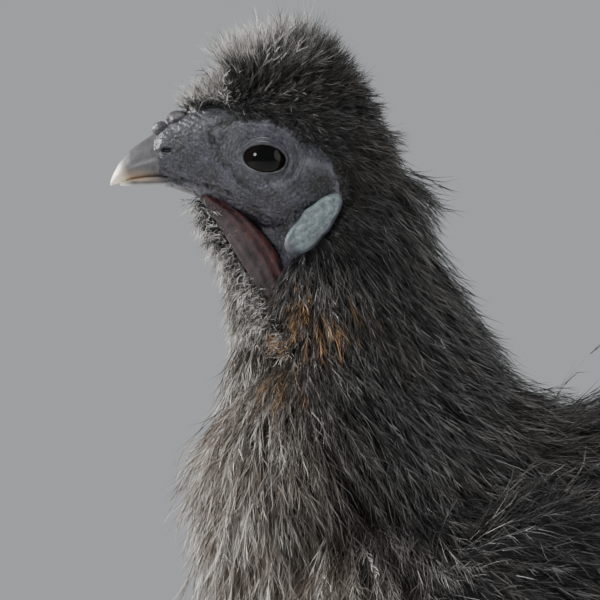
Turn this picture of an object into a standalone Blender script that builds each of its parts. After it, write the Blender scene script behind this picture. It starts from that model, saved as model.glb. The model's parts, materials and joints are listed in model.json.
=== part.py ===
"""A silkie hen standing, life size: head, bill, crest, neck, torso, wings, tail, legs and five-toed feet.

Metres, +Z up. The hen faces -X and its left side faces -Y. The origin is on the floor, under the
middle of its bounding box. Each feathered node has a core, and flat tapered locks that grow from it.
"""
import math
import random

import bmesh
import bpy
from mathutils import Matrix, Vector
from mathutils.bvhtree import BVHTree

MM = 0.001
GAP = 0.3 * MM  # kept between two nodes that touch
SIDES = (-1, 1)  # -1 is the hen's left, towards -Y
SIDE_NAMES = {-1: "left", 1: "right"}

# Head, seen from the side: x, top, bottom and half width at each station, in mm
HEAD_STATIONS = (
    (-122.6, 285.2, 272.9, 5.6),
    (-117.5, 288.4, 271.4, 7.2),
    (-111.3, 292.0, 269.2, 9.3),
    (-105.0, 294.6, 266.2, 11.6),
    (-98.8, 296.3, 262.4, 13.4),
    (-92.5, 297.3, 259.4, 14.7),
    (-86.3, 297.3, 257.6, 15.5),
    (-80.0, 295.6, 258.8, 15.2),
    (-73.8, 291.6, 262.6, 12.8),
    (-69.4, 285.5, 268.5, 8.4),
    (-68.0, 279.0, 275.0, 2.5),
)
HEAD_SECTIONS = 15
HEAD_SIDES = 18
BILL_LEAN = 0.30  # how far the bill's base leans back for each mm downwards

EYE_X, EYE_Z = -95.0 * MM, 278.75 * MM
EYEBALL_RADIUS = 7.0 * MM
EYEBALL_Y = 7.7 * MM
LID_OPENING = (5.5 * MM, 3.7 * MM)  # half length and half height
LID_THICKNESS = 0.95 * MM
LID_TILT = math.radians(8)

# Bill: x, top and bottom in mm, from the base to the tip
UPPER_BILL = (
    (-122.6, 285.2, 275.0, 5.6),
    (-125.6, 283.5, 274.6, 4.6),
    (-129.3, 280.6, 273.9, 3.3),
    (-131.9, 277.2, 273.2, 2.0),
    (-133.1, 274.8, 272.6, 1.0),
    (-133.6, 273.4, 272.3, 0.4),
)
LOWER_BILL = (
    (-122.6, 274.7, 272.6, 4.9),
    (-126.3, 274.1, 272.4, 3.6),
    (-129.6, 273.4, 272.5, 2.0),
    (-131.2, 273.0, 272.7, 0.8),
)

# Lobes of the walnut comb: x, y, z and radii, in mm
COMB_LOBES = (
    (-120.6, 0.0, 286.9, 2.5, 2.7, 2.2),
    (-117.6, 1.9, 288.2, 2.4, 2.3, 2.3),
    (-117.6, -1.9, 288.2, 2.4, 2.3, 2.3),
    (-115.3, 0.0, 289.6, 2.7, 4.2, 2.5),
)

EARLOBE_CENTRE = (-83.0 * MM, 15.4 * MM, 262.2 * MM)
EARLOBE_RADII = (9.4 * MM, 1.5 * MM, 3.7 * MM)
EARLOBE_TILT = math.radians(-46)

# Neck core: centre x and z, half length along the body and half width, in mm
NECK_STATIONS = (
    (-85.0, 283.0, 8.0, 9.0),
    (-81.5, 277.0, 14.0, 13.5),
    (-80.0, 266.0, 16.5, 15.5),
    (-79.0, 254.0, 18.0, 16.5),
    (-76.5, 242.0, 21.0, 18.5),
    (-73.0, 230.0, 25.0, 22.5),
    (-67.5, 217.0, 30.0, 29.0),
    (-59.0, 203.0, 34.0, 34.0),
)
# Throat, from the chin to the front of the neck: the same columns
THROAT_STATIONS = (
    (-111.5, 268.4, 1.8, 2.4),
    (-106.0, 263.4, 3.4, 4.6),
    (-100.0, 255.0, 5.2, 6.2),
    (-95.5, 245.0, 8.0, 9.0),
    (-92.5, 234.0, 10.0, 12.0),
)
# Wattle: x, y, z, half width and half thickness, in mm
WATTLE_STATIONS = (
    (-110.5, 5.6, 269.6, 1.2, 0.8),
    (-105.0, 7.6, 264.9, 2.5, 1.5),
    (-99.5, 8.6, 259.2, 3.4, 1.9),
    (-95.0, 9.4, 252.8, 3.6, 2.0),
    (-92.2, 9.9, 246.8, 2.9, 1.8),
    (-91.2, 10.1, 243.2, 1.4, 1.0),
)
# Crest core: centre x and z, half length and half width, in mm
CREST_STATIONS = (
    (-112.5, 291.6, 1.6, 3.4),
    (-107.0, 294.6, 2.4, 5.8),
    (-100.0, 297.4, 4.4, 8.2),
    (-92.0, 299.2, 5.6, 9.8),
    (-83.0, 298.8, 6.0, 10.6),
    (-75.5, 294.8, 6.4, 10.0),
    (-70.5, 288.6, 5.0, 7.5),
)

# Torso core: x, top, bottom and half width, in mm
TORSO_STATIONS = (
    (-104.5, 182.0, 162.0, 10.0),
    (-98.0, 198.0, 143.0, 31.0),
    (-85.0, 211.0, 118.0, 47.0),
    (-65.0, 219.0, 96.0, 59.0),
    (-40.0, 219.0, 81.0, 67.0),
    (-10.0, 215.0, 73.0, 70.0),
    (20.0, 213.0, 72.0, 69.0),
    (48.0, 216.0, 79.0, 62.0),
    (72.0, 217.0, 96.0, 50.0),
    (90.0, 208.0, 122.0, 35.0),
    (101.0, 192.0, 150.0, 15.0),
)
TORSO_SECTIONS = 15
TORSO_SIDES = 18

# Folded wing core: centre, radii and tilt
WING_CENTRE = (-6.0 * MM, 73.0 * MM, 163.0 * MM)
WING_RADII = (58.0 * MM, 8.0 * MM, 30.0 * MM)
WING_TILT = math.radians(10)

# Cushion and tail core
TAIL_CENTRE = (96.0 * MM, 0.0, 212.0 * MM)
TAIL_RADII = (25.0 * MM, 37.0 * MM, 24.0 * MM)
TAIL_TILT = math.radians(-28)

# Zones: the space that each feathered node may take, with smooth borders where nodes meet
NECK_ZONE = (
    (-86.0, 300.0, 26.0, 26.0),
    (-84.0, 276.0, 31.0, 31.0),
    (-80.0, 250.0, 38.0, 37.0),
    (-75.0, 226.0, 46.0, 45.0),
    (-66.0, 204.0, 56.0, 57.0),
    (-58.0, 190.0, 54.0, 56.0),
    (-54.0, 182.0, 36.0, 38.0),
)
WING_ZONE = (
    (-68.0, 180.0, 168.0, 5.0),
    (-60.0, 194.0, 150.0, 22.0),
    (-42.0, 203.0, 132.0, 31.0),
    (-15.0, 205.0, 122.0, 34.0),
    (15.0, 201.0, 121.0, 34.0),
    (45.0, 190.0, 125.0, 32.0),
    (68.0, 176.0, 131.0, 27.0),
    (84.0, 164.0, 139.0, 18.0),
    (91.0, 156.0, 146.0, 5.0),
)
WING_ZONE_Y = 96.0 * MM
TAIL_ZONE_CENTRE = (108.0 * MM, 0.0, 218.0 * MM)
TAIL_ZONE_RADII = (48.0 * MM, 68.0 * MM, 48.0 * MM)
THIGH_ZONE_CENTRE = (8.0 * MM, 37.0 * MM, 63.0 * MM)
THIGH_ZONE_RADII = (40.0 * MM, 29.0 * MM, 38.0 * MM)

# Leg: the hock, the foot's hub and what hangs between them
THIGH_TOP = (2.0 * MM, 36.0 * MM, 98.0 * MM)
HOCK = (13.0 * MM, 31.0 * MM, 70.0 * MM)
THIGH_RADII = (27.0 * MM, 14.0 * MM)
FOOT_HUB = (-4.0 * MM, 31.0 * MM, 10.0 * MM)
SHANK_RADIUS = 4.6 * MM
# Toes: heading from straight ahead (positive is outwards), length and radius at the root
TOES = (
    ("inner", -30.0, 33.0 * MM, 3.6 * MM),
    ("middle", 4.0, 44.0 * MM, 4.0 * MM),
    ("outer", 36.0, 35.0 * MM, 3.6 * MM),
    ("hind", 172.0, 17.0 * MM, 3.0 * MM),
)
FIFTH_TOE = ("fifth", -150.0, 19.0 * MM, 2.9 * MM)
CLAW_LENGTH = 9.0 * MM
LOCK_SINK = 2.5 * MM  # how deep a lock is rooted
FLAT_Z = 0.0  # every toe has a flat at this level

# Random draws, one for each coat
SEEDS = {"torso": 111, "neck": 112, "throat": 113, "tail": 292, "wing": 241, "thigh": 151, "crest": 132}

# Coat colours, linear
COLOURS = {
    "plumage": (0.055, 0.050, 0.048),
    "face_skin": (0.030, 0.030, 0.040),
    "bill_horn": (0.075, 0.065, 0.060),
    "comb_skin": (0.025, 0.024, 0.032),
    "earlobe_skin": (0.100, 0.230, 0.270),
    "wattle_skin": (0.110, 0.035, 0.032),
    "eye": (0.004, 0.004, 0.004),
    "leg_skin": (0.040, 0.042, 0.050),
    "claw_horn": (0.060, 0.055, 0.050),
}
ROUGHNESS = {"eye": 0.05, "bill_horn": 0.35, "claw_horn": 0.4}


def clear_scene():
    for obj in list(bpy.data.objects):
        bpy.data.objects.remove(obj, do_unlink=True)


def material(name):
    found = bpy.data.materials.get(name)
    if found:
        return found
    made = bpy.data.materials.new(name)
    made.use_nodes = True
    shader = made.node_tree.nodes["Principled BSDF"]
    shader.inputs["Base Color"].default_value = (*COLOURS[name], 1.0)
    shader.inputs["Roughness"].default_value = ROUGHNESS.get(name, 0.75)
    shader.inputs["Metallic"].default_value = 0.0
    return made


def solid(name, verts, faces, slot="plumage"):
    """A mesh object from points and faces, with its faces turned outwards."""
    mesh = bpy.data.meshes.new(name)
    mesh.from_pydata([tuple(v) for v in verts], [], faces)
    bm = bmesh.new()
    bm.from_mesh(mesh)
    bmesh.ops.recalc_face_normals(bm, faces=bm.faces)
    if bm.calc_volume(signed=True) < 0:
        bmesh.ops.reverse_faces(bm, faces=bm.faces)
    bm.to_mesh(mesh)
    bm.free()
    mesh.materials.append(material(slot))
    mesh.shade_smooth()
    obj = bpy.data.objects.new(name, mesh)
    bpy.context.scene.collection.objects.link(obj)
    return obj


def blend_stations(stations, x, column):
    """A smooth curve through one column of a table of stations, read at x, the first column."""
    rows = sorted(stations)
    if x <= rows[0][0]:
        return rows[0][column]
    if x >= rows[-1][0]:
        return rows[-1][column]
    i = max(k for k in range(len(rows) - 1) if rows[k][0] <= x)
    a, b = rows[i], rows[i + 1]
    span = b[0] - a[0]

    def slope(k):
        low, high = rows[max(k - 1, 0)], rows[min(k + 1, len(rows) - 1)]
        return (high[column] - low[column]) / (high[0] - low[0])

    t = (x - a[0]) / span
    h00, h10 = 2 * t**3 - 3 * t**2 + 1, t**3 - 2 * t**2 + t
    h01, h11 = -2 * t**3 + 3 * t**2, t**3 - t**2
    return h00 * a[column] + h10 * span * slope(i) + h01 * b[column] + h11 * span * slope(i + 1)


def path_stations(rows, count):
    """Rows spread evenly by index along a smooth curve through the given rows."""
    out = []
    last = len(rows) - 1
    for k in range(count):
        s = last * k / (count - 1)
        numbered = [(i, *row) for i, row in enumerate(rows)]
        out.append([blend_stations(numbered, s, c + 1) for c in range(len(rows[0]))])
    return out


def bridge(rings, closed_ends=True):
    """Points and faces of a tube through rings of equally many points, with a pole at each end."""
    verts = [v for ring in rings for v in ring]
    n = len(rings[0])
    faces = []
    for r in range(len(rings) - 1):
        for k in range(n):
            a, b = r * n + k, r * n + (k + 1) % n
            faces.append((a, b, b + n, a + n))
    if closed_ends:
        for ring, start in ((rings[0], 0), (rings[-1], (len(rings) - 1) * n)):
            verts.append(sum(ring, Vector()) / n)
            pole = len(verts) - 1
            faces += [(start + (k + 1) % n, start + k, pole) for k in range(n)]
    return verts, faces


def upright_ring(x, top, bottom, half, sides, lean=0.0, square=2.3):
    """A rounded section across X, between two heights. It may lean back downwards."""
    mid, tall = (top + bottom) / 2, (top - bottom) / 2
    ring = []
    for k in range(sides):
        a = 2 * math.pi * k / sides
        c, s = math.cos(a), math.sin(a)
        y = half * math.copysign(abs(c) ** (2 / square), c)
        z = mid + tall * math.copysign(abs(s) ** (2 / square), s)
        ring.append(Vector((x - lean * (z - mid), y, z)) * MM)
    return ring


def path_ring(centre, along, half_x, half_y, sides):
    """A round section across a path that runs in the X-Z plane."""
    side = Vector((0, 1, 0))
    across = side.cross(along).normalized()
    turns = [2 * math.pi * k / sides for k in range(sides)]
    return [centre + across * half_x * math.cos(a) + side * half_y * math.sin(a) for a in turns]


def path_tube(name, stations, count, sides, slot="plumage"):
    """A tube through stations of centre x, centre z, half depth and half width, in mm."""
    rows = path_stations(stations, count)
    centres = [Vector((row[0], 0, row[1])) * MM for row in rows]
    rings = []
    for k, row in enumerate(rows):
        along = centres[min(k + 1, count - 1)] - centres[max(k - 1, 0)]
        rings.append(path_ring(centres[k], along.normalized(), row[2] * MM, row[3] * MM, sides))
    return solid(name, *bridge(rings), slot)


def ellipsoid(name, centre, radii, tilt=0.0, slot="plumage", around=20, rings=12):
    """An ellipsoid turned about Y by tilt, with rings rows of faces from pole to pole."""
    turn = Matrix.Translation(Vector(centre)) @ Matrix.Rotation(tilt, 4, "Y")
    turn = turn @ Matrix.Diagonal((*radii, 1.0))
    circles = []
    for k in range(1, rings):
        b = math.pi * k / rings
        turns = [2 * math.pi * j / around for j in range(around)]
        low, flat = math.cos(b), math.sin(b)
        circles.append([turn @ Vector((flat * math.cos(a), flat * math.sin(a), low)) for a in turns])
    verts, faces = bridge(circles)
    verts[-2], verts[-1] = turn @ Vector((0, 0, 1)), turn @ Vector((0, 0, -1))
    return solid(name, verts, faces, slot)


def copy_of(obj, name):
    made = obj.copy()
    made.data = obj.data.copy()
    made.name = name
    bpy.context.scene.collection.objects.link(made)
    return made


def grown(obj, distance=GAP):
    """A copy with every face moved outwards, for cutting a neighbour clear of obj."""
    made = copy_of(obj, "grown")
    bm = bmesh.new()
    bm.from_mesh(made.data)
    moves = [v.normal * distance * min(v.calc_shell_factor(), 1.8) for v in bm.verts]
    for v, move in zip(bm.verts, moves):
        v.co += move
    bm.to_mesh(made.data)
    bm.free()
    return made


def apply_boolean(obj, others, operation):
    """Applies one Boolean with a collection of closed meshes, and removes them."""
    if not others:
        return
    group = bpy.data.collections.new("operands")
    bpy.context.scene.collection.children.link(group)
    for other in others:
        for owner in list(other.users_collection):
            owner.objects.unlink(other)
        group.objects.link(other)
    step = obj.modifiers.new(operation, "BOOLEAN")
    step.operation = operation
    step.operand_type = "COLLECTION"
    step.collection = group
    step.solver = "MANIFOLD"
    graph = bpy.context.evaluated_depsgraph_get()
    mesh = bpy.data.meshes.new_from_object(obj.evaluated_get(graph))
    obj.modifiers.clear()
    obj.data = mesh
    for other in others:
        bpy.data.objects.remove(other, do_unlink=True)
    bpy.data.collections.remove(group)


def keep_largest(obj):
    """Leaves only the closed surface that holds the most."""
    bm = bmesh.new()
    bm.from_mesh(obj.data)
    bmesh.ops.triangulate(bm, faces=bm.faces)
    left, shells = set(bm.faces), []
    while left:
        shell, front = set(), [left.pop()]
        while front:
            face = front.pop()
            shell.add(face)
            near = {f for e in face.edges for f in e.link_faces} & left
            left -= near
            front += near
        shells.append(shell)

    def volume(shell):
        corners = ([v.co for v in f.verts] for f in shell)
        return abs(sum(a.dot(b.cross(c)) for a, b, c in corners)) / 6

    best = max(shells, key=volume)
    loose = [f for shell in shells if shell is not best for f in shell]
    bmesh.ops.delete(bm, geom=loose, context="FACES")
    bm.to_mesh(obj.data)
    bm.free()
    return obj


def unite(obj, pieces):
    apply_boolean(obj, pieces, "UNION")
    return keep_largest(obj)


def cut_clear(obj, neighbours):
    """Cuts the neighbours out of obj, with a gap."""
    for neighbour in neighbours:
        apply_boolean(obj, [grown(neighbour)], "DIFFERENCE")
    return keep_largest(obj)


def settle_zone(obj, core, zone):
    """Gives obj all of its zone: what it holds there and the part of the torso's core that lies there."""
    share = copy_of(core, "share")
    apply_boolean(share, [copy_of(zone, "zone_copy")], "INTERSECT")
    apply_boolean(obj, [share], "UNION")
    apply_boolean(obj, [copy_of(zone, "zone_copy")], "INTERSECT")
    return keep_largest(obj)


def cut(obj, cutters):
    apply_boolean(obj, cutters, "DIFFERENCE")
    return keep_largest(obj)


class Ground:
    """The surface that locks grow from and lie along: one tree over several cores."""

    def __init__(self, *cores):
        points, faces = [], []
        for core in cores:
            start = len(points)
            points += [v.co.copy() for v in core.data.vertices]
            faces += [[start + i for i in p.vertices] for p in core.data.polygons]
        self.tree = BVHTree.FromPolygons(points, faces)

    def near(self, point):
        place, normal, _, _ = self.tree.find_nearest(point)
        outwards = point - place
        if outwards.length > 1e-5 and outwards.dot(normal) > 0:
            normal = outwards.normalized()
        return place, normal


def scatter(core, spacing, seed, keep=lambda p: True):
    """Roots spread evenly over a core: random places, each kept if no kept one is too near."""
    draw = random.Random(seed)
    core.data.calc_loop_triangles()
    triangles = [
        [core.data.vertices[i].co for i in t.vertices] for t in core.data.loop_triangles
    ]
    areas = [(b - a).cross(c - a).length / 2 for a, b, c in triangles]
    tries = int(14 * sum(areas) / spacing**2)
    kept = []
    for a, b, c in draw.choices(triangles, areas, k=tries):
        u, v = draw.random(), draw.random()
        if u + v > 1:
            u, v = 1 - u, 1 - v
        place = a + (b - a) * u + (c - a) * v
        if keep(place) and all((place - other).length > spacing for other in kept):
            kept.append(place)
    return kept


def blade(path, outs, widths, thicks):
    """A flat tapered form with a ridge along its outer face, as a lock or a feather with its shaft.

    Each section has three corners: two edges and the ridge. The last place of the path is its point.
    """
    rings = []
    for k, (out, width, thick) in enumerate(zip(outs, widths, thicks)):
        way = (path[k + 1] - path[max(k - 1, 0)]).normalized()
        side = way.cross(out).normalized()
        ridge = side.cross(way) * thick
        rings.append([path[k] + side * width / 2, path[k] + ridge, path[k] - side * width / 2])
    verts = [v for ring in rings for v in ring] + [path[-1]]
    faces = [(0, 1, 2)]
    for r in range(len(rings) - 1):
        for k in range(3):
            a, b = 3 * r + k, 3 * r + (k + 1) % 3
            faces += [(a, b, b + 3), (a, b + 3, a + 3)]
    last = 3 * (len(rings) - 1)
    faces += [(last + k, last + (k + 1) % 3, len(verts) - 1) for k in range(3)]
    return solid("blade", verts, faces)


def lock(ground, root, heading, length, width, thick, rise, draw):
    """One lock that leaves the ground at its root, lies along it and ends rise above it."""
    place, normal = ground.near(root)
    flow = (heading - normal * heading.dot(normal)).normalized()
    flow = (Matrix.Rotation(draw.uniform(-0.22, 0.22), 3, normal) @ flow).normalized()
    bow = draw.uniform(-0.25, 0.25)
    path = [place - normal * LOCK_SINK - flow * LOCK_SINK]
    point, outs = place.copy(), [normal]
    for share in (0.36, 0.70, 1.0):
        ahead = point + flow * length * (0.34 if share > 0.4 else 0.36)
        place, normal = ground.near(ahead)
        flow = flow - normal * flow.dot(normal)
        flow = (Matrix.Rotation(bow / 3, 3, normal) @ flow).normalized()
        point = place + normal * rise * share**1.3
        path.append(point.copy())
        outs.append(normal)
    roll = draw.uniform(-0.3, 0.3)
    outs = [Matrix.Rotation(roll * k, 3, flow) @ out for k, out in enumerate(outs[:3])]
    widths = [width * share for share in (0.70, 1.0, 0.66)]
    thicks = [thick, thick * 0.85, max(thick * 0.5, 0.6 * MM)]
    return blade(path, outs, widths, thicks)


def coat(ground, core, heading, spacing, sizes, seed, keep=lambda p: True):
    """Locks over a core. sizes(p) gives length, width, thickness and rise at a place."""
    draw = random.Random(seed)
    made = []
    for root in scatter(core, spacing, seed, keep):
        length, width, thick, rise = sizes(root)
        length *= draw.uniform(0.82, 1.15)
        rise *= draw.uniform(0.75, 1.25)
        width *= draw.uniform(0.85, 1.15)
        made.append(lock(ground, root, heading(root), length, width, thick, rise, draw))
    return made


def ramp(x, low, high):
    t = min(max((x - low) / (high - low), 0.0), 1.0)
    return t * t * (3 - 2 * t)


def head_side(x, z):
    """Half width of the head's side at a place seen from the side."""
    x, z = x / MM, z / MM
    top, bottom, half = (blend_stations(HEAD_STATIONS, x, c) for c in (1, 2, 3))
    mid, tall = (top + bottom) / 2, (top - bottom) / 2
    s = min(abs((z - mid) / tall), 1.0)
    return half * (1 - s**2.3) ** (1 / 2.3) * MM


def make_head():
    first, last = HEAD_STATIONS[0][0], HEAD_STATIONS[-1][0]
    rings = []
    for k in range(HEAD_SECTIONS):
        share = k / (HEAD_SECTIONS - 1)
        x = first + (last - first) * (1 - math.cos(share * math.pi)) / 2
        x = 0.5 * x + 0.5 * (first + (last - first) * share)
        top, bottom, half = (blend_stations(HEAD_STATIONS, x, c) for c in (1, 2, 3))
        lean = BILL_LEAN * (1 - ramp(x, first, -105.0))
        rings.append(upright_ring(x, top, bottom, half, HEAD_SIDES, lean))
    return solid("head", *bridge(rings), "face_skin")


def lid_ring(side):
    """The rim of both lids, a ring that lies on the eyeball."""
    rings = []
    count, sides = 14, 5
    for k in range(count):
        a = 2 * math.pi * k / count
        dx, dz = LID_OPENING[0] * math.cos(a), LID_OPENING[1] * math.sin(a)
        out = 1.08
        x = (dx * math.cos(LID_TILT) + dz * math.sin(LID_TILT)) * out
        z = (-dx * math.sin(LID_TILT) + dz * math.cos(LID_TILT)) * out
        depth = math.sqrt(EYEBALL_RADIUS**2 - min(x * x + z * z, (0.95 * EYEBALL_RADIUS) ** 2))
        centre = Vector((EYE_X + x, side * (EYEBALL_Y + depth), EYE_Z + z))
        out_way = (centre - Vector((EYE_X, side * EYEBALL_Y, EYE_Z))).normalized()
        flat = Vector((x, 0, z)).normalized()
        rings.append([
            centre + (out_way * math.sin(b) + flat * math.cos(b)) * LID_THICKNESS
            for b in (2 * math.pi * j / sides for j in range(sides))
        ])
    verts, faces = bridge(rings, closed_ends=False)
    n = sides
    start = (count - 1) * n
    faces += [(start + k, start + (k + 1) % n, (k + 1) % n, k) for k in range(n)]
    return solid("lids", verts, faces, "face_skin")


def surface_tube(name, points, radii, side, count=7, sides=5, lift=0.0):
    """A tube over the side of the head through side-view points in mm."""
    rows = path_stations([(*p, r) for p, r in zip(points, radii)], count)
    centres = []
    for x, z, _ in rows:
        centres.append(Vector((x * MM, side * (head_side(x * MM, z * MM) + lift), z * MM)))
    rings = []
    for k, row in enumerate(rows):
        along = (centres[min(k + 1, count - 1)] - centres[max(k - 1, 0)]).normalized()
        up = along.cross(Vector((0, 1, 0))).normalized()
        across = along.cross(up).normalized()
        turns = [2 * math.pi * j / sides for j in range(sides)]
        rings.append([
            centres[k] + (up * math.cos(a) + across * math.sin(a)) * row[2] * MM for a in turns
        ])
    return solid(name, *bridge(rings), "face_skin")


def dress_head(head):
    """Adds lids and ear rims, then cuts the eye sockets, mouth line, nostrils and ear cups."""
    added, cutters = [], []
    for side in SIDES:
        added.append(lid_ring(side))
        rim = ((-81.5, 279.6), (-77.2, 276.6), (-75.6, 271.6), (-77.6, 266.8))
        added.append(surface_tube("ear_rim", rim, (0.7, 1.4, 1.6, 1.2), side, lift=0.1 * MM))
        brow = ((-104.0, 283.5), (-98.0, 287.0), (-91.0, 287.2), (-85.0, 284.0))
        added.append(surface_tube("brow", brow, (0.7, 1.5, 1.5, 0.8), side, lift=-0.5 * MM))
        socket = (EYE_X, side * EYEBALL_Y, EYE_Z)
        size = EYEBALL_RADIUS + GAP
        cutters.append(ellipsoid("socket", socket, (size, size, size), around=14, rings=9))
        mouth = ((-123.8, 274.9), (-119.0, 274.4), (-113.0, 273.0), (-107.5, 270.6))
        cutters.append(surface_tube("mouth", mouth, (0.35, 0.45, 0.45, 0.3), side))
        x, z = -119.6 * MM, 280.6 * MM
        place = (x, side * head_side(x, z), z)
        radii = (2.0 * MM, 1.2 * MM, 0.8 * MM)
        cutters.append(ellipsoid("nostril", place, radii, math.radians(-14), around=8, rings=4))
        x, z = -81.0 * MM, 272.6 * MM
        place = (x, side * (head_side(x, z) + 1.2 * MM), z)
        radii = (3.1 * MM, 2.4 * MM, 3.6 * MM)
        cutters.append(ellipsoid("ear_cup", place, radii, around=8, rings=6))
    unite(head, added)
    cut(head, cutters)


def make_bill(name, stations, lean, base):
    rings = []
    count = 8
    last = stations[-1][0]
    for k in range(count):
        share = k / (count - 1)
        x = base + (last - base) * math.sin(share * math.pi / 2)
        top, bottom, half = (blend_stations(stations, x, c) for c in (1, 2, 3))
        fade = 1 - ramp(base - x, 0.0, 8.0)
        rings.append(upright_ring(x, top, bottom, half, 10, lean * fade, square=2.0))
    return solid(name, *bridge(rings), "bill_horn")


def lean_shift(stations):
    """Moves a bill's base so that its lean matches the lean of the head's front."""
    head_mid = (HEAD_STATIONS[0][1] + HEAD_STATIONS[0][2]) / 2
    mid = (stations[0][1] + stations[0][2]) / 2
    return -BILL_LEAN * (mid - head_mid)


def make_bills():
    bills = []
    for name, stations in (("bill_upper", UPPER_BILL), ("bill_lower", LOWER_BILL)):
        base = HEAD_STATIONS[0][0] - GAP / MM
        shift = lean_shift(stations)
        moved = [(x + shift * (1 - ramp(base - x, 0.0, 8.0)), *rest) for x, *rest in stations]
        bills.append(make_bill(name, moved, BILL_LEAN, base + shift))
    return bills


def make_comb():
    lobes = []
    for k, (x, y, z, a, b, c) in enumerate(COMB_LOBES):
        centre = (x * MM, y * MM, z * MM)
        radii = (a * MM, b * MM, c * MM)
        lobes.append(ellipsoid(f"lobe_{k}", centre, radii, 0.5, "comb_skin", 8, 6))
    comb = lobes.pop(0)
    comb.name = "comb"
    return unite(comb, lobes)


def make_earlobe(side):
    x, y, z = EARLOBE_CENTRE
    made = ellipsoid(
        f"earlobe_{SIDE_NAMES[side]}", (x, side * y, z), EARLOBE_RADII, EARLOBE_TILT,
        "earlobe_skin", 12, 6,
    )
    for v in made.data.vertices:
        down = (z - v.co.z) / EARLOBE_RADII[0]
        v.co.y += side * 1.2 * MM * down
    return made


def make_wattle(side):
    rows = path_stations(WATTLE_STATIONS, 7)
    centres = [Vector((x, side * y, z)) * MM for x, y, z, _, _ in rows]
    rings = []
    for k, row in enumerate(rows):
        along = (centres[min(k + 1, 6)] - centres[max(k - 1, 0)]).normalized()
        out = Vector((0, side, 0))
        out = (out - along * out.dot(along)).normalized()
        wide = along.cross(out)
        turns = [2 * math.pi * j / 7 for j in range(7)]
        rings.append([
            centres[k] + wide * math.cos(a) * row[3] * MM + out * math.sin(a) * row[4] * MM
            for a in turns
        ])
    return solid(f"wattle_{SIDE_NAMES[side]}", *bridge(rings), "wattle_skin")


def make_torso_core():
    first, last = TORSO_STATIONS[0][0], TORSO_STATIONS[-1][0]
    rings = []
    for k in range(TORSO_SECTIONS):
        share = k / (TORSO_SECTIONS - 1)
        x = first + (last - first) * (0.6 * (1 - math.cos(share * math.pi)) / 2 + 0.4 * share)
        top, bottom, half = (blend_stations(TORSO_STATIONS, x, c) for c in (1, 2, 3))
        rings.append(upright_ring(x, top, bottom, half, TORSO_SIDES, square=2.15))
    return solid("torso", *bridge(rings))


def tapered_limb(name, points, radii, slot, sides=10, count=8):
    """A round limb through points, with a radius at each."""
    rows = path_stations([(*p, r) for p, r in zip(points, radii)], count)
    centres = [Vector(row[:3]) for row in rows]
    rings = []
    for k, row in enumerate(rows):
        along = (centres[min(k + 1, count - 1)] - centres[max(k - 1, 0)]).normalized()
        side = along.cross(Vector((0, 1, 0)) if abs(along.y) < 0.9 else Vector((1, 0, 0)))
        side = side.normalized()
        up = along.cross(side).normalized()
        turns = [2 * math.pi * j / sides for j in range(sides)]
        rings.append([centres[k] + (side * math.cos(a) + up * math.sin(a)) * row[3] for a in turns])
    return solid(name, *bridge(rings), slot)


def flow_torso(p):
    """Feathers run back along the back and sides, and down over the breast."""
    away = (p - Vector((-62, 0, 232)) * MM).normalized()
    back = Vector((1.0, 0.0, -0.25))
    frontness = 1 - ramp(p.x, -90 * MM, -40 * MM)
    return away * (0.5 + 0.8 * frontness) + back * (0.8 - 0.7 * frontness)


def flow_neck(p):
    down = Vector((0.22, 0, -1.0))
    back = Vector((1.0, 0, 0.0))
    high = ramp(p.z, 262 * MM, 284 * MM)
    front = ramp(p.x, -84 * MM, -100 * MM)
    return down + back * 1.3 * high + Vector((-0.5, 0, 0)) * front


def flow_crest(p):
    """The front of the crest stands up and its back sweeps backwards."""
    rear = ramp(p.x, -96 * MM, -74 * MM)
    return Vector((-0.25 + 1.1 * rear, p.y * 18, 1.0 - 0.9 * rear))


def crest_lock(root, normal, draw):
    rear = ramp(root.x, -98 * MM, -74 * MM)
    front = 1 - ramp(root.x, -110 * MM, -100 * MM)
    length = (14.0 - 9.0 * front + 1.5 * rear) * MM * draw.uniform(0.8, 1.15)
    way = (flow_crest(root) + normal * 0.5).normalized()
    way = (way + Vector((draw.uniform(-1, 1), draw.uniform(-1, 1), 0)) * 0.11).normalized()
    side = way.cross(normal)
    if side.length < 0.2:
        side = Vector((0, 1, 0)).cross(way)
    side = (Matrix.Rotation(draw.uniform(-1.1, 1.1), 3, way) @ side.normalized()).normalized()
    up = side.cross(way).normalized()
    droop = up * draw.uniform(-0.06, 0.14) + Vector((0.10 * rear, 0, -0.10 * rear))
    shares = (-0.16, 0.3, 0.66, 1.0)
    path = [root + way * length * s - droop * length * s * abs(s) for s in shares]
    width = (9.0 - 4.4 * front) * MM
    widths = [width * 0.65, width, width * 0.7]
    return blade(path, [up] * 3, widths, [1.4 * MM, 1.2 * MM, 0.8 * MM])


def crest_locks(core):
    draw = random.Random(SEEDS["crest"])
    ground = Ground(core)
    outside = lambda p: p.z > crown_height(p) + 0.2 * MM
    roots = scatter(core, 7.2 * MM, SEEDS["crest"], outside)
    return [crest_lock(root, ground.near(root)[1], draw) for root in roots]


def crown_height(p):
    """Top of the head above a place, allowing for how far it is from the middle."""
    x = p.x / MM
    top, bottom, half = (blend_stations(HEAD_STATIONS, x, c) for c in (1, 2, 3))
    s = min(abs(p.y / MM / half), 1.0)
    return ((top + bottom) / 2 + (top - bottom) / 2 * (1 - s**2.3) ** (1 / 2.3)) * MM


def vane(root, tip, out, width, thick, bend):
    """A feather vane between two places, broadest near its end. out is the way its face looks."""
    way = tip - root
    side = way.cross(out).normalized()
    out = side.cross(way).normalized()
    shares = (0.0, 0.42, 0.80, 1.0)
    path = [root + way * s + out * bend * math.sin(s * math.pi) for s in shares]
    widths = [width * 0.5, width * 0.95, width * 0.85]
    thicks = [thick, thick * 0.8, max(thick * 0.55, 0.6 * MM)]
    return blade(path, [out] * 3, widths, thicks)


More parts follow.
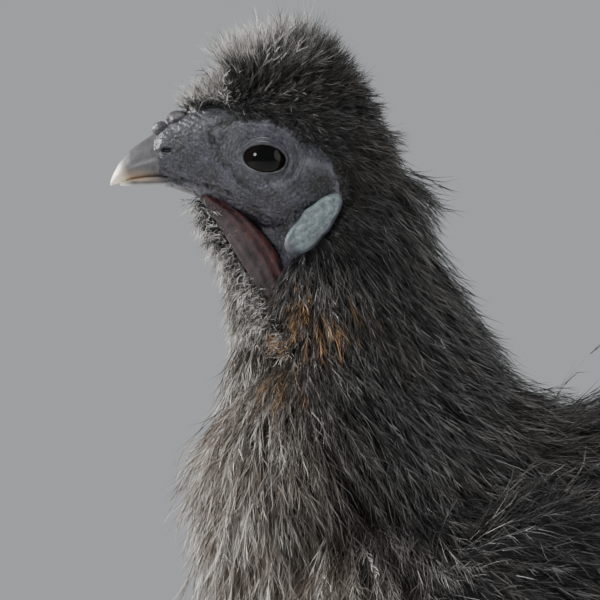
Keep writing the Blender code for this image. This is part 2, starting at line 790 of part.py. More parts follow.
def wing_place(side, u, v, out=0.0):
    """A place on the folded wing: u from shoulder to tip, v from its lower to its upper edge."""
    x, y, z = WING_CENTRE
    a, b, c = WING_RADII
    turn = Matrix.Rotation(WING_TILT, 3, "Y")
    s = math.sqrt(max(1 - u * u - v * v, 0.0))
    local = Vector((a * u, side * (b * s + out), c * v))
    return Vector((x, side * y, z)) + turn @ local


def make_wing_zone(name, side):
    """The folded wing's share of the coat, round at the shoulder and pointed behind."""
    rings = []
    shift = Vector((0, side * WING_ZONE_Y, 0))
    for x, top, bottom, half in WING_ZONE:
        rings.append([p + shift for p in upright_ring(x, top, bottom, half, 16)])
    return solid(name, *bridge(rings))


def make_wing(side, ground):
    """The folded wing: a core, two tiers of flight feathers and locks over the shoulder."""
    x, y, z = WING_CENTRE
    name = f"wing_{SIDE_NAMES[side]}"
    core = ellipsoid(name, (x, side * y, z), WING_RADII, WING_TILT, around=14, rings=8)
    draw = random.Random(SEEDS["wing"] + side)
    feathers = []
    for tier, (count, v_low, v_high, length, out, u_root) in enumerate((
        (6, -0.62, 0.10, 62, 0.2, 0.25),
        (5, -0.42, 0.45, 46, 2.6, -0.15),
    )):
        for k in range(count):
            share = k / (count - 1)
            v = v_low + (v_high - v_low) * share
            root = wing_place(side, u_root - 0.15 * share, v, (out - 1.5) * MM)
            reach = length * (1.0 - 0.25 * share) * draw.uniform(0.92, 1.08) * MM
            heading = Vector((1.0, 0, -0.30 + 0.34 * share)).normalized()
            tip = root + heading * reach
            near, normal = ground.near(tip)
            tip = near + normal * (5.0 + 2.4 * tier) * MM
            feathers.append(vane(root, tip, Vector((0, side, 0.15)), 14 * MM, 2.0 * MM, 2.5 * MM))
    own = Ground(core)
    front = lambda p: p.y * side > y + 1.0 * MM and p.x < 24 * MM
    heading = lambda p: Vector((1.0, 0, -0.30))
    sizes = lambda p: (42 * MM, 27 * MM, 2.6 * MM, 9 * MM)
    feathers += coat(own, core, heading, 23 * MM, sizes, SEEDS["wing"] + side, front)
    return unite(core, feathers)


def make_tail():
    core = ellipsoid("tail", TAIL_CENTRE, TAIL_RADII, TAIL_TILT, around=14, rings=8)
    draw = random.Random(SEEDS["tail"])
    feathers = []
    for tier, (count, spread, reach, lift) in enumerate(((5, 56, 31, 14), (5, 50, 30, 46))):
        for k in range(count):
            a = math.radians(spread * (2 * k / (count - 1) - 1))
            up = math.radians(lift)
            heading = Vector((math.cos(a) * math.cos(up), math.sin(a) * math.cos(up), math.sin(up)))
            root = Vector(TAIL_CENTRE) + Vector((9, 28 * math.sin(a), 4 + 8 * tier)) * MM
            tip = root + heading * reach * draw.uniform(0.94, 1.06) * MM
            out = Vector((-math.sin(up), 0, math.cos(up)))
            feathers.append(vane(root, tip, out, 24 * MM, 2.2 * MM, 3 * MM))
    own = Ground(core)
    heading = lambda p: Vector((1.0, p.y * 10, 0.15 if p.z > TAIL_CENTRE[2] else -0.8))
    sizes = lambda p: (32 * MM, 24 * MM, 2.8 * MM, 12 * MM)
    feathers += coat(own, core, heading, 22 * MM, sizes, SEEDS["tail"], lambda p: p.x > 76 * MM)
    return unite(core, feathers)


def make_thigh(side):
    top, hock = Vector(THIGH_TOP), Vector(HOCK)
    top.y *= side
    hock.y *= side
    name = f"thigh_{SIDE_NAMES[side]}"
    mid = (top + hock) / 2 + Vector((2, 0, 0)) * MM
    radii = (THIGH_RADII[0], 19 * MM, THIGH_RADII[1])
    core = tapered_limb(name, (top, mid, hock), radii, "plumage", sides=10, count=6)
    own = Ground(core)
    heading = lambda p: Vector((0.15, side * 0.1, -1.0))
    sizes = lambda p: (36 * MM, 22 * MM, 2.6 * MM, 10 * MM)
    locks = coat(own, core, heading, 20.5 * MM, sizes, SEEDS["thigh"] + side, lambda p: p.z < 90 * MM)
    return unite(core, locks)


def make_shank(side):
    """Hock to foot, bare at first: the second piece returned is its feathering."""
    hock, hub = Vector(HOCK), Vector(FOOT_HUB)
    hock.y *= side
    hub.y *= side
    start = hock + Vector((0, 0, 4)) * MM
    radii = (6.0 * MM, SHANK_RADIUS, 4.2 * MM, 5.4 * MM)
    points = (start, hock.lerp(hub, 0.35), hock.lerp(hub, 0.7), hub + Vector((0, 0, 3)) * MM)
    shank = tapered_limb(f"shank_{SIDE_NAMES[side]}", points, radii, "leg_skin", 8, 6)
    draw = random.Random(71 + side)
    feathers = []
    for k in range(5):
        share = 0.30 + 0.42 * k / 4
        middle = hock.lerp(hub, share)
        root = middle + Vector((1.0 - 2.0 * (k % 2), side * 2.0, 0)) * MM
        way = Vector((0.3 * (k % 2) - 0.1, side * 0.62, -0.9)).normalized()
        tip = root + way * draw.uniform(16, 20) * MM
        tip.z = max(tip.z, 13 * MM)
        feathers.append(vane(root, tip, Vector((0.1, side, 0.5)), 9 * MM, 1.6 * MM, 1.5 * MM))
    return shank, feathers


def toe_points(hub, side, heading, length, radius):
    """The toe's middle line: it leaves the hub, dips to the floor and runs along it."""
    a = math.radians(heading)
    way = Vector((-math.cos(a), side * math.sin(a), 0))
    low = radius * 0.86
    return (
        hub,
        hub + way * length * 0.30 + Vector((0, 0, low * 1.25 - hub.z)),
        hub + way * length * 0.68 + Vector((0, 0, low - hub.z)),
        hub + way * length + Vector((0, 0, low * 0.8 - hub.z)),
    ), way


def make_foot(side):
    """Four toes on the floor and the fifth held up behind, with feathers on the outer two."""
    hub = Vector(FOOT_HUB)
    hub.y *= side
    name = f"foot_{SIDE_NAMES[side]}"
    foot = ellipsoid(name, hub - Vector((0, 0, 2.6)) * MM, (7.5 * MM, 6.5 * MM, 6.4 * MM), 0, "leg_skin", 10, 6)
    toes, claws = [], []
    for toe, heading, length, radius in TOES:
        points, way = toe_points(hub - Vector((0, 0, 3)) * MM, side, heading, length, radius)
        radii = (radius * 1.1, radius, radius * 0.95, radius * 0.72)
        toes.append(tapered_limb("toe", points, radii, "leg_skin", 6, 5))
        claws.append((toe, points[-1], way, radius * 0.62))
    toe, heading, length, radius = FIFTH_TOE
    a = math.radians(heading)
    way = Vector((-math.cos(a), side * math.sin(a), 0.75)).normalized()
    start = hub + Vector((3, 0, 1)) * MM
    points = (start, start + way * length * 0.5, start + way * length + Vector((0, 0, 1.5)) * MM)
    toes.append(tapered_limb("toe", points, (radius, radius * 0.95, radius * 0.7), "leg_skin", 6, 4))
    claws.append((toe, points[-1], way, radius * 0.6))
    draw = random.Random(81 + side)
    for heading, reach in ((4.0, 0.75), (36.0, 0.85)):
        a = math.radians(heading)
        along = Vector((-math.cos(a), side * math.sin(a), 0))
        for k in range(2):
            root = hub + along * (9 + 13 * k) * MM
            root.z = 4.4 * MM
            turn = Matrix.Rotation(-side * math.radians(24 + 10 * k), 3, "Z")
            way = turn @ along
            tip = root + way * draw.uniform(15, 19) * reach * MM
            tip.z = 2.0 * MM
            toes.append(vane(root, tip, Vector((0, side * 0.2, 1)), 8.5 * MM, 1.5 * MM, 1 * MM))
    unite(foot, toes)
    return flatten(foot), claws


def flatten(obj):
    """Cuts off what lies under the floor, which leaves a flat under each toe."""
    size = 0.2
    bm = bmesh.new()
    bmesh.ops.create_cube(bm, size=size)
    bmesh.ops.translate(bm, verts=bm.verts, vec=(0, 0, FLAT_Z - size / 2))
    mesh = bpy.data.meshes.new("floor")
    bm.to_mesh(mesh)
    bm.free()
    floor = bpy.data.objects.new("floor", mesh)
    bpy.context.scene.collection.objects.link(floor)
    return cut(obj, [floor])


def make_claws(side, claws):
    made = []
    for toe, place, way, radius in claws:
        flat = Vector((way.x, way.y, 0)).normalized()
        drop = Vector((0, 0, -0.25 * CLAW_LENGTH))
        if toe == "fifth":
            drop = Vector((0, 0, 0.15 * CLAW_LENGTH))
        low = radius * 1.02
        points = [
            place - way * 2.0 * MM + Vector((0, 0, 0.3)) * MM,
            place + flat * CLAW_LENGTH * 0.5 + Vector((0, 0, 0.5)) * MM,
            place + flat * CLAW_LENGTH + drop,
        ]
        radii = (radius, radius * 0.75, 0.35 * MM)
        if toe != "fifth":
            points = [Vector((p.x, p.y, max(p.z, r))) for p, r in zip(points, (low, low, 0.6 * MM))]
        name = f"claw_{toe}_{SIDE_NAMES[side]}"
        made.append(tapered_limb(name, points, radii, "claw_horn", 5, 4))
    return made


def covered_by_neck(p):
    return p.z > 190 * MM and math.hypot(p.x + 60 * MM, p.y) < 56 * MM


def torso_sizes(p):
    breast = 1 - ramp(p.x, -100 * MM, -60 * MM)
    low = 1 - ramp(p.z, 70 * MM, 110 * MM)
    length = 46 - 4 * breast - 6 * low
    return length * MM, (34 - 4 * low) * MM, 3.4 * MM, (17 - 2 * breast - 3 * low) * MM


def hackle_sizes(p):
    return 36 * MM, 27 * MM, 3.0 * MM, 13 * MM


def neck_distance(p):
    """How far a place lies outside the neck's core, roughly."""
    rows = [(row[1], row[0], row[2], row[3]) for row in NECK_STATIONS]
    x, half_x, half_y = (blend_stations(rows, p.z / MM, c) for c in (1, 2, 3))
    ratio = math.hypot((p.x / MM - x) / half_x, p.y / MM / half_y)
    return (ratio - 1) * min(half_x, half_y) * MM


def neck_sizes(p):
    down = 1 - ramp(p.z, 215 * MM, 270 * MM)
    front = ramp(p.x, -88 * MM, -100 * MM)
    length = 22 + 14 * down - 4 * front
    return length * MM, (19 + 7 * down) * MM, 2.4 * MM, (8.5 + 4 * down - 2.0 * front) * MM


def main():
    clear_scene()
    head = make_head()
    dress_head(head)
    for s in SIDES:
        centre = (EYE_X, s * EYEBALL_Y, EYE_Z)
        ellipsoid(f"eye_{SIDE_NAMES[s]}", centre, [EYEBALL_RADIUS] * 3, slot="eye", around=14, rings=8)
    bills = [cut_clear(bill, [head]) for bill in make_bills()]
    comb = cut_clear(make_comb(), [head, bills[0]])
    earlobes = [cut_clear(make_earlobe(s), [head]) for s in SIDES]
    wattles = [cut_clear(make_wattle(s), [head]) for s in SIDES]

    crest = path_tube("crest", CREST_STATIONS, 9, 10)
    unite(crest, crest_locks(crest))
    cut_clear(crest, [head, comb])

    neck = path_tube("neck", NECK_STATIONS, 10, 14)
    throat = path_tube("throat", THROAT_STATIONS, 7, 8)
    torso_core = make_torso_core()
    torso_core.name = "torso_core"
    torso = copy_of(torso_core, "torso")
    body_ground = Ground(torso, neck, throat)

    zones = {"neck": path_tube("neck_zone", NECK_ZONE, 8, 16)}
    for side in SIDES:
        name = f"wing_{SIDE_NAMES[side]}"
        zones[name] = make_wing_zone(f"{name}_zone", side)
    zones["tail"] = ellipsoid("tail_zone", TAIL_ZONE_CENTRE, TAIL_ZONE_RADII, TAIL_TILT, around=16, rings=9)
    x, y, z = THIGH_ZONE_CENTRE
    for side in SIDES:
        name = f"thigh_{SIDE_NAMES[side]}"
        zones[name] = ellipsoid(f"{name}_zone", (x, side * y, z), THIGH_ZONE_RADII, around=14, rings=8)

    bare = lambda p: not (covered_by_neck(p) or under_wing(p) or between_legs(p))
    torso_locks = coat(body_ground, torso, flow_torso, 30.5 * MM, torso_sizes, SEEDS["torso"], bare)
    neck_locks = coat(
        body_ground, neck, flow_neck, 19 * MM, neck_sizes, SEEDS["neck"],
        lambda p: p.z > 212 * MM and head_distance(p) > 1.0 * MM,
    )
    throat_sizes = lambda p: (11 * MM, 6.5 * MM, 1.5 * MM, 4.5 * MM)
    chin = lambda p: abs(p.y) < 5.5 * MM and p.z > 238 * MM and p.x < -92 * MM
    throat_flow = lambda p: Vector((-0.25, p.y * 20, -1.0))
    neck_locks += coat(
        Ground(throat), throat, throat_flow, 8.0 * MM, throat_sizes, SEEDS["throat"], chin,
    )
    hackle = lambda p: covered_by_neck(p) and neck_distance(p) > 3 * MM
    neck_locks += coat(
        body_ground, torso_core, flow_torso, 28 * MM, hackle_sizes, SEEDS["neck"] + 1, hackle,
    )
    unite(neck, [throat, *neck_locks])
    settle_zone(neck, torso_core, zones["neck"])
    cut_clear(neck, [head, crest, *earlobes, *wattles, *bills])

    ground = Ground(torso_core)
    tail = settle_zone(make_tail(), torso_core, zones["tail"])
    unite(torso, torso_locks)
    for zone in zones.values():
        cut_clear(torso, [zone])
    for side in SIDES:
        wing_name, thigh_name = f"wing_{SIDE_NAMES[side]}", f"thigh_{SIDE_NAMES[side]}"
        wing = settle_zone(make_wing(side, ground), torso_core, zones[wing_name])
        thigh = settle_zone(make_thigh(side), torso_core, zones[thigh_name])
        cut_clear(wing, [zones["neck"], zones["tail"]])
        shank, feathers = make_shank(side)
        foot, claw_places = make_foot(side)
        cut_clear(thigh, [shank])
        cut_clear(foot, [shank])
        unite(shank, feathers)
        for claw in make_claws(side, claw_places):
            cut_clear(claw, [foot, shank])
    for guide in (torso_core, *zones.values()):
        bpy.data.objects.remove(guide, do_unlink=True)


def head_distance(p):
    """How far a place lies outside the head, roughly."""
    x = p.x / MM
    if x > HEAD_STATIONS[-1][0]:
        return p.x - HEAD_STATIONS[-1][0] * MM
    top, bottom, half = (blend_stations(HEAD_STATIONS, x, c) for c in (1, 2, 3))
    mid, tall = (top + bottom) / 2, (top - bottom) / 2
    ratio = math.hypot(p.y / MM / half, (p.z / MM - mid) / tall)
    return (ratio - 1) * min(half, tall) * MM


def between_legs(p):
    return p.z < 90 * MM and abs(p.y) < 22 * MM and -30 * MM < p.x < 45 * MM


def under_wing(p):
    x, _, z = WING_CENTRE
    turn = Matrix.Rotation(-WING_TILT, 3, "Y")
    local = turn @ Vector((p.x - x, 0, p.z - z))
    return math.hypot(local.x / WING_RADII[0], local.z / WING_RADII[2]) < 0.95 and abs(p.y) > 40 * MM


main()
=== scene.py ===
# %% [markdown]
# # A silkie hen, life size
# The hen stands still, facing -X, with its left side towards the camera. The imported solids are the
# frame: they say how big each part is and where it stands. Over them goes one skin for all the flesh,
# then the bare parts of the head and the legs in their own pieces, then the silky coat as fine strands.

# %% Load the frame
import json
import math
import random

import bmesh
import bpy
import numpy as np
from mathutils import Matrix, Vector

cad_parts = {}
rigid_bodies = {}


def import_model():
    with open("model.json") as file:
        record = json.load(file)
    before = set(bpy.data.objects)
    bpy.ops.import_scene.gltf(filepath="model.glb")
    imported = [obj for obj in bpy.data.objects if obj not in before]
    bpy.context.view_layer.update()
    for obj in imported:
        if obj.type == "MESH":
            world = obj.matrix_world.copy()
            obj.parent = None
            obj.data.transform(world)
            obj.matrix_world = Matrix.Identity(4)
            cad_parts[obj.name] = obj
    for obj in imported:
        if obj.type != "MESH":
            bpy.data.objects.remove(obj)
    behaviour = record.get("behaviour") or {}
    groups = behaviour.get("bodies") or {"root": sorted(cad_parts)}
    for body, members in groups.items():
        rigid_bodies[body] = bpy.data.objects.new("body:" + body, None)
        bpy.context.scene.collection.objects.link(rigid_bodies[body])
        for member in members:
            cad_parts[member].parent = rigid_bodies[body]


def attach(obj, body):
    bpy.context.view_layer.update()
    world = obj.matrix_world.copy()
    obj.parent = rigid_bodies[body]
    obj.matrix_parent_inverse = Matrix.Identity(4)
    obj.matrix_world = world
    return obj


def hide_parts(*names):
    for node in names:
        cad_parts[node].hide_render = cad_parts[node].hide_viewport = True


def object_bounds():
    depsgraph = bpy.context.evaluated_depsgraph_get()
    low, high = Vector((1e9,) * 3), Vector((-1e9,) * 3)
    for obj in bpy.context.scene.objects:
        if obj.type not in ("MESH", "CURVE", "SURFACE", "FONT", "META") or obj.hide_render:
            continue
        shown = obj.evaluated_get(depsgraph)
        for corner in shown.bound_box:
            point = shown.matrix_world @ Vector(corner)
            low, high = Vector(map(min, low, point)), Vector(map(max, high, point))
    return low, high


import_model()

cad_box = [list(corner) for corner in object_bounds()]
MM = 0.001
SIDES = (-1, 1)  # -1 is the hen's left, towards -Y
SIDE_NAMES = {-1: "left", 1: "right"}
BODY = "root"
print("frame box in mm:", [[round(v / MM, 1) for v in corner] for corner in cad_box])

# %% [markdown]
# ## Camera and light
# A camera first, because every later choice is judged through it. The photo is a level profile from
# far off through a long lens, so perspective is weak. The frame is 150 mm wide and centred on the
# neck. The light is soft: a panel behind and to the left gives the bright rim, a wide one overhead
# fills, and a small one near the camera models the face. Two wide ones light the far side and the tail,
# which the photo doesn't show, and the pale surroundings lift the shadows.

# %% Camera
FRAME_CENTRE = Vector((-86.25, 0.0, 243.75)) * MM
FRAME_WIDTH = 150 * MM
CAMERA_DISTANCE = 1.25
SENSOR = 36.0

camera_data = bpy.data.cameras.new("camera")
camera_data.sensor_width = SENSOR
camera_data.lens = SENSOR * CAMERA_DISTANCE / FRAME_WIDTH
camera = bpy.data.objects.new("camera", camera_data)
camera.location = FRAME_CENTRE + Vector((0, -CAMERA_DISTANCE, 0))
camera.rotation_euler = (math.radians(90), 0, 0)
bpy.context.scene.collection.objects.link(camera)
bpy.context.scene.camera = camera
print("lens", round(camera_data.lens), "mm")


# %% Lights and world
def area_light(name, place, target, size, power, colour):
    data = bpy.data.lights.new(name, "AREA")
    data.shape = "DISK"
    data.size = size
    data.energy = power
    data.color = colour
    lamp = bpy.data.objects.new(name, data)
    lamp.location = place
    lamp.rotation_euler = (Vector(target) - Vector(place)).to_track_quat("-Z", "Y").to_euler()
    bpy.context.scene.collection.objects.link(lamp)
    return lamp


heart = (-0.06, 0.0, 0.22)  # where every lamp points: the upper breast
area_light("rim", (-1.35, 0.55, 0.75), heart, 0.5, 58, (1.0, 0.98, 0.95))
area_light("overhead", (-0.2, -0.35, 1.7), heart, 1.0, 28, (1.0, 1.0, 1.0))
area_light("camera_side", (-1.15, -1.2, 0.75), heart, 0.35, 13, (0.97, 0.98, 1.0))
area_light("far_side", (1.3, 1.1, 1.0), heart, 1.6, 34, (1.0, 1.0, 1.0))
area_light("tail_side", (1.5, -0.9, 0.7), heart, 1.4, 14, (1.0, 1.0, 1.0))

world = bpy.data.worlds.new("studio")
world.use_nodes = True
surroundings = world.node_tree.nodes["Background"]
surroundings.inputs["Color"].default_value = (0.62, 0.64, 0.66, 1.0)
surroundings.inputs["Strength"].default_value = 0.62
bpy.context.scene.world = world

# %% [markdown]
# ## Materials as expressions
# A material is a formula over the surface, so it reads best as one. This small class wraps a socket
# and lets +, -, * and ** add the Math nodes. Other nodes come from one method, `node`, that takes a
# node's type, its settings and its sockets. Colours go through Mix, since Math turns them grey.


# %% Shader expressions
class Shade:
    """A number, colour or vector in a material, as an expression."""

    def __init__(self, tree, socket):
        self.tree, self.socket = tree, socket

    def math(self, operation, *values):
        made = self.tree.nodes.new("ShaderNodeMath")
        made.operation = operation
        for slot, value in zip(made.inputs, values):
            put(self.tree, slot, value)
        return Shade(self.tree, made.outputs[0])

    def __add__(self, other):
        return self.math("ADD", self, other)

    def __radd__(self, other):
        return self.math("ADD", other, self)

    def __sub__(self, other):
        return self.math("SUBTRACT", self, other)

    def __rsub__(self, other):
        return self.math("SUBTRACT", other, self)

    def __mul__(self, other):
        return self.math("MULTIPLY", self, other)

    def __rmul__(self, other):
        return self.math("MULTIPLY", other, self)

    def __pow__(self, other):
        return self.math("POWER", self, other)

    def smooth(self, low, high):
        """0 below low, 1 above high and a smooth step between."""
        made = self.tree.nodes.new("ShaderNodeMapRange")
        made.interpolation_type = "SMOOTHSTEP"
        put(self.tree, made.inputs["Value"], self)
        made.inputs["From Min"].default_value = low
        made.inputs["From Max"].default_value = high
        return Shade(self.tree, made.outputs["Result"])


def put(tree, slot, value):
    """Links an expression to a socket, or sets a plain value on it."""
    if isinstance(value, Shade):
        tree.links.new(value.socket, slot)
    else:
        slot.default_value = value


class Finish:
    """One material: a Principled shader and the nodes that feed it."""

    def __init__(self, name, **constants):
        self.material = bpy.data.materials.new(name)
        self.material.use_nodes = True
        self.tree = self.material.node_tree
        self.shader = self.tree.nodes["Principled BSDF"]
        for socket, value in constants.items():
            self.shader.inputs[socket.replace("_", " ")].default_value = value

    def node(self, kind, settings=None, output=0, **sockets):
        made = self.tree.nodes.new(kind)
        for key, value in (settings or {}).items():
            setattr(made, key, value)
        for key, value in sockets.items():
            put(self.tree, made.inputs[key.replace("_", " ")], value)
        return Shade(self.tree, made.outputs[output])

    def place(self):
        return self.node("ShaderNodeTexCoord", output="Object")

    def attribute(self, name):
        return self.node("ShaderNodeAttribute", {"attribute_name": name}, output="Fac")

    def split(self, vector):
        made = self.tree.nodes.new("ShaderNodeSeparateXYZ")
        put(self.tree, made.inputs[0], vector)
        return [Shade(self.tree, socket) for socket in made.outputs]

    def noise(self, vector, scale, detail=3.0, rough=0.55):
        return self.node("ShaderNodeTexNoise", Vector=vector, Scale=scale, Detail=detail, Roughness=rough)

    def cells(self, vector, scale):
        return self.node("ShaderNodeTexVoronoi", Vector=vector, Scale=scale)

    def mix(self, share, low, high):
        made = self.tree.nodes.new("ShaderNodeMix")
        made.data_type = "RGBA"
        for name, value in (("Factor_Float", share), ("A_Color", low), ("B_Color", high)):
            slot = next(s for s in made.inputs if s.identifier == name)
            if isinstance(value, tuple):
                value = (*value, 1.0)[:4]
            put(self.tree, slot, value)
        return Shade(self.tree, next(s for s in made.outputs if s.identifier == "Result_Color"))

    def bump(self, height, strength, distance):
        made = self.node("ShaderNodeBump", Height=height, Strength=strength, Distance=distance)
        put(self.tree, self.shader.inputs["Normal"], made)

    def feed(self, socket, value):
        put(self.tree, self.shader.inputs[socket], value)


print("shader expressions ready")

# %% [markdown]
# ## Sizes of the flesh
# The same stations that shaped the solids, in millimetres. The skin lies inside the solids by the
# depth of the coat: far inside on the body, a little on the neck, and not at all on the bare face.

# %% Stations
# Head: x, top, bottom, half width.
HEAD = (
    (-122.6, 285.2, 272.9, 5.6), (-117.5, 288.4, 271.4, 7.2), (-111.3, 292.0, 269.2, 9.3),
    (-105.0, 294.6, 266.2, 11.6), (-98.8, 296.3, 262.4, 13.4), (-92.5, 297.3, 259.4, 14.7),
    (-86.3, 297.3, 257.6, 15.5), (-80.0, 295.6, 258.8, 15.2), (-73.8, 291.6, 262.6, 12.8),
    (-69.4, 285.5, 268.5, 8.4), (-68.0, 279.0, 275.0, 2.5),
)
# Neck: z, centre x, half depth, half width.
NECK = (
    (190.0, -52.0, 34.0, 34.0), (203.0, -59.0, 32.0, 32.0), (217.0, -67.0, 27.5, 26.5),
    (230.0, -70.5, 24.5, 20.5), (242.0, -73.6, 20.9, 17.4), (254.0, -76.2, 17.8, 15.6),
    (266.0, -77.8, 16.2, 14.4), (277.0, -79.5, 13.8, 12.0), (283.0, -83.0, 8.0, 8.0),
)
# Throat: z, centre x, half depth, half width.
THROAT = (
    (226.0, -90.0, 9.0, 11.0), (234.0, -92.0, 8.6, 10.4), (245.0, -95.0, 6.8, 7.6),
    (255.0, -100.2, 4.8, 5.4), (263.4, -106.6, 3.4, 3.8), (269.4, -112.0, 2.0, 2.6),
)
# Torso: x, top, bottom, half width, before the coat's depth is taken off.
TORSO = (
    (-104.5, 182, 162, 10), (-98, 198, 143, 31), (-85, 211, 118, 47), (-65, 219, 96, 59),
    (-40, 219, 81, 67), (-10, 215, 73, 70), (20, 213, 72, 69), (48, 216, 79, 62),
    (72, 217, 96, 50), (90, 208, 122, 35), (101, 192, 150, 15),
)
# Crest mound: x, z, half height, half width.
CREST = (
    (-112.5, 291.6, 1.2, 3.0), (-107.0, 294.0, 2.0, 5.2), (-100.0, 296.4, 3.4, 7.6),
    (-92.0, 297.6, 4.4, 9.0), (-83.0, 296.0, 4.6, 9.4), (-75.5, 291.8, 4.8, 8.8), (-70.5, 286.8, 4.0, 6.6),
)
COAT_DEPTH = 11.0
FRONT_DEPTH = 6.0  # the coat is thinner over the front of the breast
TORSO_REACH = 103  # from the torso's middle to its ends, before the coat's depth is taken off
BODY_VOXEL = 0.0024  # metres
HEAD_POWER = 2.3  # how full the head's section is at its corners
EYE = (-95.0, 278.75)  # x and z
EYE_SIDE = 7.7  # from the middle of the head to the middle of the eyeball
EYEBALL = 7.0
OPENING = (5.5, 3.7)  # half length and half height
OPENING_TILT = math.radians(8)


# %% Curves through stations
def through(stations, at):
    """A smooth curve through rows whose first number is the position along."""
    rows = np.array(sorted(stations), float)
    x, values = rows[:, 0], rows[:, 1:]
    slopes = np.gradient(values, x, axis=0)
    i = np.clip(np.searchsorted(x, at) - 1, 0, len(x) - 2)
    gap = (x[i + 1] - x[i])[:, None]
    t = ((at - x[i]) / gap[:, 0])[:, None]
    near = values[i] * (2 * t**3 - 3 * t**2 + 1) + slopes[i] * gap * (t**3 - 2 * t**2 + t)
    far = values[i + 1] * (3 * t**2 - 2 * t**3) + slopes[i + 1] * gap * (t**3 - t**2)
    return near + far


top, bottom, half = through(HEAD, np.array([EYE[0]]))[0]
print("the head at the eye:", round(top - bottom, 1), "mm high and", round(2 * half, 1), "mm wide")

# %% [markdown]
# Most of the hen is round in section and changes along its length, so most pieces are lofts: rings of
# points, joined ring to ring and closed at both ends. A tube is a loft whose rings follow a path.

# %% Lofts and tubes
def to_object(name, points_mm, faces):
    """A smooth-shaded mesh object from points in millimetres and faces."""
    mesh = bpy.data.meshes.new(name)
    mesh.from_pydata((np.asarray(points_mm) * MM).tolist(), [], faces)
    mesh.validate()
    mesh.shade_smooth()
    made = bpy.data.objects.new(name, mesh)
    bpy.context.scene.collection.objects.link(made)
    return made


def face_out(made):
    """Turns all faces of a closed mesh outwards."""
    shell = bmesh.new()
    shell.from_mesh(made.data)
    bmesh.ops.recalc_face_normals(shell, faces=shell.faces)
    shell.to_mesh(made.data)
    shell.free()
    return made


def loft(name, rings, closed=False):
    """Joins rings of points, each the same count, and closes both ends unless the rings go round."""
    rings = np.asarray(rings, float)
    count, around = rings.shape[:2]
    points = rings.reshape(-1, 3)
    spans = count if closed else count - 1
    faces = []
    for a in range(spans):
        b = (a + 1) % count
        for k in range(around):
            m = (k + 1) % around
            faces.append((a * around + k, a * around + m, b * around + m, b * around + k))
    if not closed:
        points = np.concatenate([points, rings[0].mean(0)[None], rings[-1].mean(0)[None]])
        first, last = len(points) - 2, len(points) - 1
        for k in range(around):
            m = (k + 1) % around
            faces.append((first, m, k))
            faces.append((last, (count - 1) * around + k, (count - 1) * around + m))
    return face_out(to_object(name, points, faces))


def squared(angle, power):
    """Cosine and sine of a superellipse, fuller at its corners as the power grows."""
    c, s = np.cos(angle), np.sin(angle)
    return np.sign(c) * np.abs(c) ** (2 / power), np.sign(s) * np.abs(s) ** (2 / power)


def tube(name, path, radii, around=16, closed=False, flat=None):
    """A tube along a path; flat holds the second radius of each ring, across the first."""
    path, radii = np.asarray(path, float), np.asarray(radii, float)
    flat = radii if flat is None else np.asarray(flat, float)
    if closed:
        ahead = np.roll(path, -1, 0) - np.roll(path, 1, 0)
    else:
        ahead = np.gradient(path, axis=0)
    ahead /= np.linalg.norm(ahead, axis=1)[:, None]
    side = np.cross(ahead, (0.0, 1.0, 0.0))
    small = np.linalg.norm(side, axis=1) < 0.2
    side[small] = np.cross(ahead[small], (1.0, 0.0, 0.0))
    side /= np.linalg.norm(side, axis=1)[:, None]
    other = np.cross(ahead, side)
    angle = np.linspace(0, math.tau, around, endpoint=False)
    rings = (
        path[:, None]
        + side[:, None] * (radii[:, None] * np.cos(angle))[..., None]
        + other[:, None] * (flat[:, None] * np.sin(angle))[..., None]
    )
    return loft(name, rings, closed)


print("lofts and tubes ready")

# %% [markdown]
# Balls, joins and modifiers are Blender's own. An operator acts on all that is selected, and the frame's
# solids come in selected, so each of these deselects everything first.

# %% Balls, joins and modifiers
def ellipsoid(name, centre, radii, tilt=0.0):
    """A ball scaled to three radii and turned about Y, made from Blender's own sphere."""
    bpy.ops.object.select_all(action="DESELECT")
    bpy.ops.mesh.primitive_uv_sphere_add(segments=48, ring_count=24, radius=1.0)
    ball = bpy.context.object
    ball.name = name
    turn = Matrix.Rotation(math.radians(tilt), 4, "Y")
    size = Matrix.Diagonal((*(Vector(radii) * MM), 1.0))
    ball.data.transform(Matrix.Translation(Vector(centre) * MM) @ turn @ size)
    ball.data.shade_smooth()
    return ball


def join(name, parts):
    bpy.ops.object.select_all(action="DESELECT")
    for part in parts:
        part.select_set(True)
    bpy.context.view_layer.objects.active = parts[0]
    bpy.ops.object.join()
    parts[0].name = name
    return parts[0]


def apply_modifier(made, kind, **settings):
    """Adds one modifier with its settings and applies it."""
    bpy.ops.object.select_all(action="DESELECT")
    made.select_set(True)
    bpy.context.view_layer.objects.active = made
    modifier = made.modifiers.new(kind.lower(), kind)
    for key, value in settings.items():
        setattr(modifier, key, value)
    bpy.ops.object.modifier_apply(modifier=modifier.name)


def vertex_array(mesh):
    values = np.empty(len(mesh.vertices) * 3, np.float32)
    mesh.vertices.foreach_get("co", values)
    return values.reshape(-1, 3).astype(float)


def set_vertices(mesh, points):
    mesh.vertices.foreach_set("co", np.asarray(points, np.float32).reshape(-1))
    mesh.update()


def ramp(value, low, high):
    t = np.clip((value - low) / (high - low), 0, 1)
    return t * t * (3 - 2 * t)


print("shape helpers ready")

# %% [markdown]
# ## The body's skin
# Under its coat a hen is lean. Torso, neck, throat, crop, wings, tail, thighs and the mound of the crest
# overlap as closed lofts and balls. Boolean joins of so many smooth shapes leave slivers, so a voxel
# remesh fuses them to one surface instead, and a few rounds of smoothing take its steps out.


